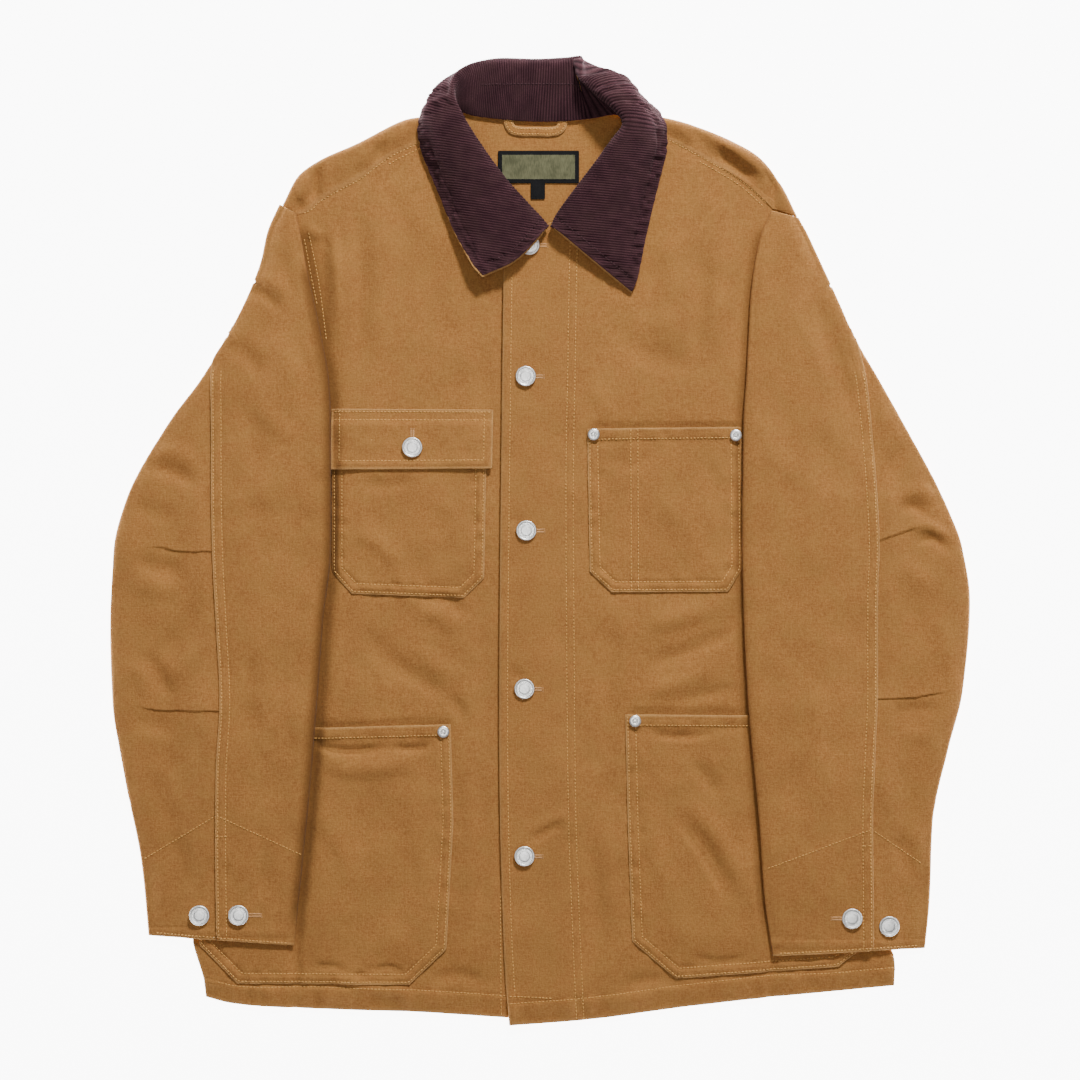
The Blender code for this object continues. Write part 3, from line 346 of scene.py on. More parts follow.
def duck(name, cloth, dark, rubbed, olive, painted_shade_colour):
    """Threads, slubs and washed patches in the dye, paler where worn, with painted shade where the value
    is below 0.
    """
    material, tree, shader = new_material(name, {
        "Roughness": 0.92, "Specular IOR Level": 0.2, "Sheen Weight": 0.04, "Sheen Roughness": 0.5})
    where = add(tree, "ShaderNodeTexCoord").outputs["Object"]
    warp = grain(tree, where, (SLUB, 1.0, 1.0), SLUB)
    weft = grain(tree, where, (1.0, SLUB, 1.0), SLUB)
    fleck = grain(tree, where, EVEN, THREAD, 3.0)
    patch = grain(tree, where, EVEN, MOTTLE, 3.0)
    threads = add(tree, "ShaderNodeMath", {0: warp.outputs["Fac"], 1: weft.outputs["Fac"]},
                  operation="ADD")
    both = add(tree, "ShaderNodeMath", {0: threads.outputs[0], 1: fleck.outputs["Fac"]},
               operation="ADD")
    tone = add(tree, "ShaderNodeMapRange", {"Value": both.outputs[0], "From Min": 1.15,
                                            "From Max": 1.85, "To Min": 0.0, "To Max": 1.0})
    colour = add(tree, "ShaderNodeMix", {"Factor": tone.outputs[0], "A": srgb(dark),
                                         "B": srgb(cloth)}, data_type="RGBA")
    washed = add(tree, "ShaderNodeMapRange", {"Value": patch.outputs["Fac"], "From Min": 0.3,
                                              "From Max": 0.7, "To Min": 0.93, "To Max": 1.06})
    shade = add(tree, "ShaderNodeVectorMath", {0: colour.outputs["Result"]}, operation="SCALE")
    tree.links.new(washed.outputs[0], shade.inputs["Scale"])
    tint = grain(tree, where, EVEN, TINT, 2.0)
    yellow = add(tree, "ShaderNodeMapRange", {"Value": tint.outputs["Fac"], "From Min": 0.4,
                                              "From Max": 0.65, "To Min": 0.0, "To Max": 0.22})
    faded = add(tree, "ShaderNodeMix", {"Factor": yellow.outputs[0], "A": shade.outputs[0],
                                        "B": srgb(olive)}, data_type="RGBA")
    # The stored value is rubbed wear above 0 and painted shade below 0.
    worn = add(tree, "ShaderNodeAttribute", attribute_name="wear_and_painted_shade")
    rub = add(tree, "ShaderNodeMath", {0: worn.outputs["Fac"], 1: fleck.outputs["Fac"]},
              operation="MULTIPLY", use_clamp=True)
    final = add(tree, "ShaderNodeMix", {"Factor": rub.outputs[0], "A": faded.outputs["Result"],
                                        "B": srgb(rubbed)}, data_type="RGBA")
    # Painted shade: below 0 the colour is mixed towards a dark brown that stands in for the shade in the
    # furrow beside a sleeve.
    painted_shade = add(tree, "ShaderNodeMath", {0: worn.outputs["Fac"], 1: -1.0},
                  operation="MULTIPLY", use_clamp=True)
    kept = add(tree, "ShaderNodeMix", {"Factor": painted_shade.outputs[0], "A": final.outputs["Result"],
                                       "B": srgb(painted_shade_colour)}, data_type="RGBA")
    tree.links.new(kept.outputs["Result"], shader.inputs["Base Color"])
    bands = []
    for way in ("X", "Y"):
        bands.append(add(tree, "ShaderNodeTexWave", {"Vector": where, "Scale": BAND_SCALE / (THREAD * MM),
                                                     "Distortion": 1.5, "Detail": 1.0},
                         bands_direction=way))
    weave = add(tree, "ShaderNodeMath", {0: bands[0].outputs["Fac"], 1: bands[1].outputs["Fac"]},
                operation="MULTIPLY")
    rough = add(tree, "ShaderNodeMath", {0: weave.outputs[0], 1: both.outputs[0]}, operation="ADD")
    bump = add(tree, "ShaderNodeBump", {"Height": rough.outputs[0], "Strength": 0.55,
                                        "Distance": WEAVE_RISE * MM})
    tree.links.new(bump.outputs["Normal"], shader.inputs["Normal"])
    return material


# The last colour is the dark brown of the painted shade beside the sleeves.
DUCK = duck("washed_cotton_duck", "#B17B42", "#936030", "#CC9C62", "#A67D40", "#5A3815")
print("material:", DUCK.name)

# %% [markdown]
# ## Corduroy
#
# Corduroy is a cotton pile woven in cords, called wales. The collar's wales are modelled in
# the mesh, 2 mm apart, so the material only adds the pile: the crests are greyer and lighter
# than the deep plum-brown between them, partly for the rubbed pile and partly as painted
# shade in the furrows, and short fibres give a soft sheen at glancing angles, which the
# shader's sheen does.

# %% Corduroy
PILE = 0.7         # size of the tufts in mm
DUSTY_PATCH = 14.0     # size of the patches that have rubbed dusty, in mm
PILE_RISE = 0.3        # how high a tuft stands in mm


def corduroy_pile(name, deep, crest, dusty, sheen):
    material, tree, shader = new_material(name, {
        "Roughness": 0.95, "Specular IOR Level": 0.1, "Sheen Weight": 0.25,
        "Sheen Roughness": 0.45, "Sheen Tint": srgb(sheen)})
    where = add(tree, "ShaderNodeTexCoord").outputs["Object"]
    tuft = grain(tree, where, EVEN, PILE, 2.0)
    patch = grain(tree, where, EVEN, DUSTY_PATCH, 3.0)
    # The stored value follows the wale's height: the furrows get the deep colour as painted shade, the
    # crests the lighter one, partly for the rubbed pile.
    nap = add(tree, "ShaderNodeAttribute", attribute_name="wear_and_painted_shade")
    lit = add(tree, "ShaderNodeMath", {0: nap.outputs["Fac"], 1: tuft.outputs["Fac"], 2: -0.02},
              operation="MULTIPLY_ADD", use_clamp=True)
    body = add(tree, "ShaderNodeMix", {"Factor": lit.outputs[0], "A": srgb(deep),
                                       "B": srgb(crest)}, data_type="RGBA")
    worn = add(tree, "ShaderNodeMapRange", {"Value": patch.outputs["Fac"], "From Min": 0.42,
                                            "From Max": 0.72, "To Min": 0.0, "To Max": 0.35})
    final = add(tree, "ShaderNodeMix", {"Factor": worn.outputs[0], "A": body.outputs["Result"],
                                        "B": srgb(dusty)}, data_type="RGBA")
    tree.links.new(final.outputs["Result"], shader.inputs["Base Color"])
    bump = add(tree, "ShaderNodeBump", {"Height": tuft.outputs["Fac"], "Strength": 0.5,
                                        "Distance": PILE_RISE * MM})
    tree.links.new(bump.outputs["Normal"], shader.inputs["Normal"])
    return material


# The deep colour is the painted shade of the furrows; the crest colour is the lighter, partly rubbed
# tops.
CORDUROY = corduroy_pile("cotton_corduroy", "#1D0C12", "#70494F", "#46302F", "#B9A0A4")
print("material:", CORDUROY.name)

# %% [markdown]
# ## Nickel plate, woven labels and sewing thread
#
# The buttons and rivets are stamped brass with a tumbled nickel plate: a pale warm-grey metal
# whose fine tumbling marks blur the reflections. The neck label is damask, black at the
# border and mottled olive inside. The jacket is sewn in a lighter tan cotton-wrapped thread,
# and the collar in a brown one.

# %% Metal, labels and thread
TUMBLE = 1.6       # size of the tumbling marks in mm
LABEL_THREAD = 0.7     # drawn width of a label's thread in mm; the real 0.2 is too fine to show
LABEL_DRAWN = 5.0      # how many times longer than wide it floats on the label
LABEL_MOTTLE = 7.0     # size of the label's lighter and darker patches in mm
YARN_FLECK = 2.4       # size of the flecks along a sewing thread in mm
FINE_RISE = 0.2        # how high tumbling marks and label threads stand in mm


def tumbled_nickel(name, plate, tarnish):
    material, tree, shader = new_material(name, {"Metallic": 1.0})
    where = add(tree, "ShaderNodeTexCoord").outputs["Object"]
    marks = grain(tree, where, EVEN, TUMBLE, 4.0)
    colour = add(tree, "ShaderNodeMix", {"Factor": marks.outputs["Fac"], "A": srgb(tarnish),
                                         "B": srgb(plate)}, data_type="RGBA")
    blur = add(tree, "ShaderNodeMapRange", {"Value": marks.outputs["Fac"], "From Min": 0.3,
                                            "From Max": 0.7, "To Min": 0.44, "To Max": 0.34})
    bump = add(tree, "ShaderNodeBump", {"Height": marks.outputs["Fac"], "Strength": 0.25,
                                        "Distance": FINE_RISE * MM})
    tree.links.new(colour.outputs["Result"], shader.inputs["Base Color"])
    tree.links.new(blur.outputs[0], shader.inputs["Roughness"])
    tree.links.new(bump.outputs["Normal"], shader.inputs["Normal"])
    return material


def damask(name, first, second):
    material, tree, shader = new_material(name, {"Roughness": 0.75, "Specular IOR Level": 0.2})
    where = add(tree, "ShaderNodeTexCoord").outputs["Object"]
    rib = grain(tree, where, (LABEL_DRAWN, 1.0, 1.0), LABEL_THREAD * LABEL_DRAWN)
    patch = grain(tree, where, EVEN, LABEL_MOTTLE, 3.0)
    both = add(tree, "ShaderNodeMath", {0: rib.outputs["Fac"], 1: patch.outputs["Fac"]},
               operation="ADD")
    tone = add(tree, "ShaderNodeMapRange", {"Value": both.outputs[0], "From Min": 0.75,
                                            "From Max": 1.25, "To Min": 0.0, "To Max": 1.0})
    colour = add(tree, "ShaderNodeMix", {"Factor": tone.outputs[0], "A": srgb(first),
                                         "B": srgb(second)}, data_type="RGBA")
    bump = add(tree, "ShaderNodeBump", {"Height": rib.outputs["Fac"], "Strength": 0.4,
                                        "Distance": FINE_RISE * MM})
    tree.links.new(colour.outputs["Result"], shader.inputs["Base Color"])
    tree.links.new(bump.outputs["Normal"], shader.inputs["Normal"])
    return material


def sewing_thread(name, light, dark):
    material, tree, shader = new_material(name, {"Roughness": 0.85, "Specular IOR Level": 0.2})
    where = add(tree, "ShaderNodeTexCoord").outputs["Object"]
    fleck = grain(tree, where, EVEN, YARN_FLECK, 3.0)
    colour = add(tree, "ShaderNodeMix", {"Factor": fleck.outputs["Fac"], "A": srgb(dark),
                                         "B": srgb(light)}, data_type="RGBA")
    tree.links.new(colour.outputs["Result"], shader.inputs["Base Color"])
    return material


NICKEL = tumbled_nickel("tumbled_nickel_plate", "#FDFCFA", "#E4E2DD")
OLIVE = damask("damask_label_field", "#515139", "#6E6D50")
BLACK = damask("damask_label_border", "#060607", "#101012")
TAN_THREAD = sewing_thread("tan_topstitch_thread", "#E6B26A", "#C68F48")
HOLE_THREAD = sewing_thread("buttonhole_thread", "#DFAE7A", "#C6925E")
BROWN_THREAD = sewing_thread("brown_topstitch_thread", "#54383D", "#3C272B")
print("materials:", len(bpy.data.materials))

# %% [markdown]
# ## Outline of the jacket
#
# The flat outline is read from tables of distances out from the centre line. They are the
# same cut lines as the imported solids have: the body's armholes and side seams, the flattened
# sleeves, the shoulders, neck and hem.

# %% Outline tables
CLOTH = 1.0            # wall of the duck as it is shown
CLOTH_CUT = 1.2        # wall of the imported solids, which sets how high each layer lies
SEAM = 0.3
LAY = 0.5

Body = namedtuple("Body", "y back front sleeve_back sleeve_front")
BODY = [Body(*row) for row in [
    (276, 208.7, 204.9, 205.7, 203.4),
    (229, 208.7, 202, 205.7, 199),
    (196, 209.2, 196, 206.2, 193),
    (164, 212, 190.5, 209, 187.5),
    (149, 216, 190, 213, 186.5),
    (131, 222.6, 193, 219.6, 190),
    (98, 239, 212, 236, 209),
    (65, 262.8, 245, 258.5, 241),
    (49, 275, 262.5, 265.2, 257.5),
    (32, 285.8, 285.8, 267.9, 267.5),
    (-150, 285, 285, 265.4, 265),
    (-331, 284, 284, 262.4, 262),
]]
Sleeve = namedtuple("Sleeve", "y outer fold seam tilt")
RIGHT_SLEEVE = [Sleeve(*row) for row in [
    (275, 213.4, 201.2, 213, 7.5),
    (252, 223.5, 196.4, 223.5, 8),
    (229, 228.6, 192.3, 228.6, 8),
    (196, 241.5, 184.9, 241.5, 8),
    (164, 258.7, 178.3, 259, 8),
    (131, 278.4, 172.6, 269.4, 8),
    (98, 303, 171, 269.2, 8),
    (32, 339.5, 170.6, 268.6, 8),
    (-8, 349.5, 171, 267.7, 8),
    (-66, 352.4, 177.3, 264.8, 8),
    (-132, 350.4, 182.2, 261.6, 8),
    (-197, 340, 187.4, 264.8, 8),
    (-263, 326.8, 194, 265, 8),
    (-335, 320, 201.5, 264.2, 8),
]]
LEFT_SLEEVE = [Sleeve(*row) for row in [
    (275, 207, 191, 206, -6),
    (263, 212.4, 186.6, 212, -5.5),
    (252, 218.5, 181.6, 218.5, -4),
    (229, 229.4, 176.2, 229.4, 0),
    (196, 244.6, 172, 244.6, 4),
    (164, 259.2, 170.4, 257.5, 6),
    (131, 278, 168.5, 266.5, 6),
    (98, 296.5, 166.2, 270.5, 6),
    (32, 331.5, 165.2, 275.6, 6),
    (-8, 346.6, 165.2, 277.2, 6),
    (-50, 352.4, 166, 275.9, 6),
    (-123, 346.8, 169.3, 275.9, 6),
    (-170, 335, 173.2, 274, 6),
    (-233, 321.8, 179.2, 271.8, 6),
    (-292, 319.6, 183.3, 272.4, 6),
    (-343, 314.8, 190.6, 272.8, 6),
]]
SHOULDER_FOLD = {
    RIGHT: [(-210.8, 274.4), (-198, 298.1), (-180.8, 310.8), (-150, 324.6),
            (-111.1, 344.0), (-96.0, 346.6), (-77.5, 348.1)],
    LEFT: [(210.6, 265.2), (197.2, 291.5), (180, 312.6), (148.8, 330.4),
           (113.6, 343.2), (97.0, 346.6), (78.5, 347.6)],
}
SHOULDER_SEAM = {
    RIGHT: [(-201.2, 266), (-188.4, 270.6), (-182.4, 276.6), (-166.5, 286), (-146, 297.2),
            (-134.4, 306.4), (-122.4, 314.6), (-100.5, 325.6), (-77.0, 341.3)],
    LEFT: [(190.6, 271.6), (182.5, 279.6), (166.9, 293.4), (135.7, 312.2),
           (105.4, 328.6), (92.0, 335.0), (78.5, 341.0)],
}
NECK_SEAM = [
    (0.4, 253.5), (-14, 262), (-30, 273.5), (-44, 287), (-55.5, 302),
    (-63.5, 317), (-69, 331), (-71.8, 342), (-67, 349.8), (-53, 347.6),
    (-29.4, 344.9), (-5, 343.2), (20, 343.6), (44, 346), (62, 348.4),
    (71, 343.5), (72.5, 331), (66.5, 312), (56, 296), (42, 281),
    (26, 268), (11.5, 257),
]
NECK_TURN = {RIGHT: 0.300, LEFT: 0.716}
NECK_BACK = (0.352, 0.655)
NECK_UNDERLAP = 2.0
BACK_UNDERLAP = 9.0
HEM = {
    RIGHT: [(-273.5, -374), (-251.3, -379.4), (-171, -384),
            (-100.4, -386.2), (-29.1, -390.7), (9.8, -392.6)],
    LEFT: [(290, -364.8), (245.6, -368.8), (188.2, -374.2), (115.2, -382.4),
           (57.0, -390.4), (30.7, -393.2), (-25.0, -397.2)],
}
SIDE_FOOT = {
    RIGHT: [(-284, -331), (-279.5, -345), (-275.2, -358), (-273.5, -374)],
    LEFT: [(284, -331), (289.6, -340), (290.8, -352), (290, -364.8)],
}
BACK_HEM = [(-272.0, -371.0), (-170.0, -381.0), (0.0, -389.0), (115.0, -379.5),
            (288, -361.5)]
CENTRE_EDGE = {
    RIGHT: [(9.4, 252), (9.4, -120), (9.8, -392.6)],
    LEFT: [(-29.3, 242.5), (-31.6, 56), (-33.2, -123), (-32.4, -235),
           (-28.6, -350.0), (-25.0, -397.2)],
}
print("table rows:", len(BODY) + len(RIGHT_SLEEVE) + len(LEFT_SLEEVE))

# %% [markdown]
# ## How high the cloth lies
#
# Each layer's height is a function of its place: the fronts swell from the side seams to the
# chest, the left front laps over the right one, and what lies on a panel asks that panel's
# function for its own height. So a crease written once in a table also lifts the pocket or
# the sleeve that lies across it. On top of the creases comes soft noise, because washed cloth
# is never quite flat.

# %% Creases of the fronts
SIDE_TOP = 2.9
BODY_TOP = 5.0
SIDE_REACH = 55.0
LAP_FROM, LAP_TO = 14.0, 54.0
LAP_RISE = CLOTH_CUT + 0.5
FRONT_FLOOR = 2.25     # a crease never sinks a front into the back panel
SLEEVE_FLOOR = 2.4     # nor a sleeve's upper layer into its lower one

BODY_CREASES = [Crease(*row) for row in [
    # x0, y0, x1, y1, x2, y2, width, depth, lean
    # chest and shoulder on the wearer's right
    (-183, 268, -178, 222, -172, 172, 7, -2.6, 0.3),
    (-170, 266, -166, 215, -165, 158, 6, 3.4, -0.3),
    (-152, 287, -148, 205, -150, 122, 7, -2.4, 0.3),
    (-131, 296, -130, 225, -133, 128, 10, 2.6, -0.2),
    (-112, 286, -110, 230, -116, 170, 7, -1.8, 0.2),
    (-101, 262, -92, 190, -104, 132, 12, -1.5, 0.2),
    (-70, 225, -62, 165, -76, 118, 14, 1.8, 0),
    (-50, 170, -46, 120, -40, 60, 8, -1.6, 0.2),
    (-190, 258, -184, 250, -176, 254, 4, 2.2, 0),
    (-186, 249, -180, 243, -173, 247, 4, -1.8, 0),
    # chest and shoulder on the wearer's left
    (172, 262, 166, 205, 160, 140, 8, -2.6, 0.3),
    (153, 262, 147, 200, 141, 140, 9, 2.6, -0.2),
    (130, 258, 129, 196, 122, 140, 8, -2.2, 0.3),
    (110, 268, 108, 205, 104, 150, 10, 1.8, 0),
    (84, 250, 90, 215, 84, 160, 9, -1.4, 0.2),
    (62, 205, 88, 182, 120, 176, 12, 1.4, 0),
    (58, 176, 92, 150, 140, 142, 10, -1.6, 0),
    (40, 130, 52, 112, 58, 96, 7, 1.2, 0),
    # belly on the wearer's right, between the chest and hip pockets
    (-100, -50, -76, -51, -57, -66, 4.5, -2.7, 0.3),
    (-106, -58, -82, -62, -64, -80, 7, 2.4, 0),
    (-152, -72, -128, -96, -112, -130, 9, -1.8, 0.2),
    (-134, -92, -100, -116, -70, -132, 6, -2.2, 0.2),
    (-112, -84, -84, -104, -56, -114, 8, 1.8, 0),
    (-76, -126, -67, -138, -62, -152, 4.5, -2.4, 0),
    (-48, -40, -46, -110, -48, -190, 9, -2.4, 0.3),
    (-62, -150, -56, -235, -60, -310, 7, 1.8, 0),
    (-50, -190, -46, -250, -50, -330, 6, -2, 0.2),
    # belly on the wearer's left
    (74, -74, 112, -64, 158, -52, 8, 2.4, 0.1),
    (86, -104, 124, -92, 166, -72, 6, -2.7, 0.3),
    (78, -124, 112, -118, 150, -100, 7, 2.2, 0),
    (104, -138, 130, -128, 168, -120, 4.5, -2, 0),
    (48, -60, 56, -128, 50, -200, 9, -1.8, 0.2),
    (64, -48, 70, -96, 62, -142, 7, 1.6, 0),
    (50, -220, 58, -280, 64, -345, 7, 1.8, 0),
    (38, -230, 44, -285, 46, -350, 6, -1.5, 0),
    # the fronts pull towards the buttons
    (-26, -106, -17, -111, -8, -122, 3.5, -2.2, 0),
    (-12, -249, 6, -238, 24, -230, 3.5, -2.8, 0.2),
    (-10, -244, 8, -231, 26, -224, 4.5, 2, 0),
    (-26, 22, -20, 16, -12, 8, 4, -1.4, 0),
    # above the hem
    (-180, -352, -140, -366, -96, -372, 5, 2, 0),
    (-96, -362, -70, -356, -40, -362, 4.5, -2, 0),
    (62, -368, 90, -360, 124, -364, 4.5, -2, 0),
]]


Line = namedtuple("Line", "x0 y0 x1 y1")
CHEST_POCKET_RIGHT = [Line(-170.1, 90.0, -43.9, 90.0), Line(-170.1, -25.8, -46.1, -31.0),
                      Line(-153.8, -43.6, -62.3, -47.2)]
CHEST_POCKET_LEFT = [Line(38.9, 90.6, 164.4, 92.2), Line(41.1, -25.8, 165.2, -23.4),
                     Line(58.6, -42.4, 153.8, -42.0)]
HIP_POCKET_RIGHT = [Line(-280.0, -156.4, -73.4, -151.3), Line(-279.6, -240.0, -71.3, -230.0),
                    Line(-278.4, -331.7, -77.0, -335.0), Line(-247.6, -362.8, -107.0, -363.8)]
HIP_POCKET_LEFT = [Line(70.1, -143.1, 280.5, -144.8), Line(72.2, -235.0, 281.6, -232.0),
                   Line(75.8, -328.4, 281.7, -321.0), Line(111.1, -358.9, 243.9, -349.0)]
CHEST_FLAP = [Line(-170.4, 107.0, -38.9, 106.2), Line(-170.5, 101.0, -38.9, 100.6),
              Line(-170.7, 93.0, -39.0, 93.0), Line(-171.2, 58.0, -39.6, 58.8)]


def washed(x, y, seed, height=0.9, drawn=1.0):
    """The soft unevenness of washed cloth; drawn lengthens it along Y."""
    y = y / drawn
    broad = noise(x + 0.5 * y, y - 0.3 * x, 52.0, seed)
    middle = noise(x - 0.4 * y, y + 0.5 * x, 21.0, seed + 1)
    small = noise(x, y, 9.5, seed + 2)
    return height * (0.55 * broad + 0.6 * middle + 0.3 * small)


# Painted shade: the fronts and pockets are painted darker beside each sleeve's folded edge, where shade
# falls in the furrow.
PAINTED_FURROW_SHADE = {RIGHT: 0.65, LEFT: 0.5}     # how strong the painted shade is in the furrow beside a sleeve
PAINTED_FURROW_REACH = {RIGHT: 8.5, LEFT: 7.0}
BANK = {RIGHT: 3.6, LEFT: 0.6}    # how high the front swells beside a sleeve
BANK_RISE = 13.0
BANK_FALL = 42.0
FURROW_DEPTH = 2.8
FURROW_REACH = 8.0
FURROW_HEAD = 262.0    # a sleeve lies on the front from here, below the shoulder,
FURROW_FOOT = -345.0   # down to here, beside the cuff


def sleeve_troughs(x, y):
    """The sleeves' folded edges press a furrow into the fronts beside them."""
    furrow = 0.0
    for side, table in ((RIGHT, RIGHT_SLEEVE), (LEFT, LEFT_SLEEVE)):
        gap = side * x - column(table, "fold", y)
        low = smooth((FURROW_HEAD - y) / 40.0)
        furrow = furrow - FURROW_DEPTH * low * hump(gap + 1.0, FURROW_REACH)
        banked = smooth(-gap / BANK_RISE) * smooth(1.0 + (gap + BANK_RISE) / BANK_FALL)
        furrow = furrow + BANK[side] * low * smooth((y - FURROW_FOOT) / 60.0) * banked
    return furrow


MOUTHS = [lines[0] for lines in (HIP_POCKET_RIGHT, HIP_POCKET_LEFT, CHEST_POCKET_LEFT)]
MOUTH_SINK = 1.5           # how far the front sinks behind a mouth
MOUTH_GAP = 1.6            # and along the mouth's own line
DRAG = 0.7                 # how much sewing on a pocket draws the front in


def mouth_troughs(x, y):
    """The fronts sink behind a pocket's mouth, and leave a dark gap above it."""
    trough = 0.0
    for x0, y0, x1, y1 in MOUTHS:
        past = y - mix(y0, y1, (x - x0) / (x1 - x0))
        across = smooth((x - x0) / 6.0) * smooth((x1 - x) / 6.0)
        behind = smooth((past + 9.0) / 8.0) * smooth(1.0 - past / 5.0)
        trough = trough - MOUTH_SINK * across * behind
        trough = trough - MOUTH_GAP * across * hump(past - 0.8, 3.2)
    return trough


def outline_of(lines):
    """The cut edge of a pocket, open at its mouth: left side, bottom, right side."""
    left = [(line.x0, line.y0) for line in lines]
    right = [(line.x1, line.y1) for line in lines]
    return np.array(left + right[::-1], float)


def pocket_drag(x, y):
    """Sewing on a pocket draws the front in beside it, with small puckers."""
    drag = 0.0
    for seed, lines in enumerate((CHEST_POCKET_RIGHT, CHEST_POCKET_LEFT, HIP_POCKET_RIGHT,
                                  HIP_POCKET_LEFT), start=101):
        away = np.abs(beside(outline_of(lines), x, y)[0])
        drag = drag - DRAG * smooth(1.0 - away / 4.5)
        drag = drag + DRAG * noise(x, y, 7.5, seed) * smooth(1.0 - away / 13.0)
    return drag


def body_top(x, y):
    """Upper face of the fronts where they lie on the back."""
    inside = column(BODY, "front", y) - np.abs(x)
    rise = smooth(inside / SIDE_REACH)
    swell = creases(BODY_CREASES, x, y) * smooth(inside / 14.0) + washed(x, y, 1) * rise
    swell = swell + sleeve_troughs(x, y) * rise
    return above(mix(SIDE_TOP, BODY_TOP, rise) + swell, FRONT_FLOOR)


def lap_rise(x):
    """How much higher the left front lies where it laps over the right one."""
    return LAP_RISE * (1.0 - smooth((x - LAP_FROM) / (LAP_TO - LAP_FROM)))


def left_front_top(x, y):
    return body_top(x, y) + lap_rise(x)


def front_top(x, y):
    """Upper face of whichever front lies on top."""
    return body_top(x, y) + (x > CENTRE_EDGE[LEFT][1][0]) * lap_rise(x)


print("creases on the fronts:", len(BODY_CREASES))

# %% [markdown]
# ## From a sheet of points to a cloth shell
#
# Every cloth piece starts as rows of points on its outer face. The shell copies them inward
# by the cloth's thickness and joins the two faces by a rounded rim. Blender's Solidify makes
# a square rim; sewn cloth has a folded, rounded one that catches the light, so the rim is
# made here. The function also notes on each point how near an edge it lies, for the wear in
# the materials, or stores a value the caller gives, which may also carry painted shade below 0.

# %% The shell
OUTER = {}             # outer sheets by name, to lay sewing and buttons on
WEAR_REACH = 1.9
RIM_ANGLES = (45.0, 90.0, 135.0)


def sheet_normals(grid):
    """Unit normals of a grid, turned so that its highest point looks up; and the sign."""
    normals = unit(np.cross(np.gradient(grid, axis=0), np.gradient(grid, axis=1)))
    top = np.unravel_index(grid[..., 2].argmax(), grid.shape[:2])
    sign = 1.0 if normals[top][2] > 0.0 else -1.0
    return normals * sign, sign


def quads_of(index, keep, sign):
    """Faces between the rows of a grid; points that share an index are merged."""
    a, b, c, d = index[:-1, :-1], index[1:, :-1], index[1:, 1:], index[:-1, 1:]
    corners = np.stack([a, b, c, d] if sign > 0 else [a, d, c, b], axis=-1)[keep]
    faces = []
    for quad in corners.tolist():
        ring = [v for k, v in enumerate(quad) if v != quad[k - 1]]
        if len(set(ring)) == len(ring) and len(ring) > 2:
            faces.append(ring)
    return faces


def rim_ways(faces, points, normals):
    """Boundary edges of the sheet and, at each of their points, the way out of it."""
    directed = set()
    for face in faces:
        for k, v in enumerate(face):
            directed.add((face[k - 1], v))
    border = [(u, v) for u, v in directed if (v, u) not in directed]
    border.sort()
    ways = {}
    for u, v in border:
        step = unit(points[v] - points[u])
        for point in (u, v):
            ways[point] = ways.get(point, np.zeros(3)) + np.cross(step, normals[point])
    return border, {point: unit(way) for point, way in ways.items()}


def wear_of(grid, reach=WEAR_REACH):
    """1 at the edges of a grid of points, falling to 0 over reach."""
    near = np.full(grid.shape[:2], 1e9)
    for axis in (0, 1):
        steps = np.linalg.norm(np.diff(grid, axis=axis), axis=2)
        run = np.cumsum(np.insert(steps, 0, 0.0, axis=axis), axis=axis)
        total = run[-1:, :] if axis == 0 else run[:, -1:]
        near = np.minimum(near, np.minimum(run, total - run))
    return 1.0 - smooth(near / reach)


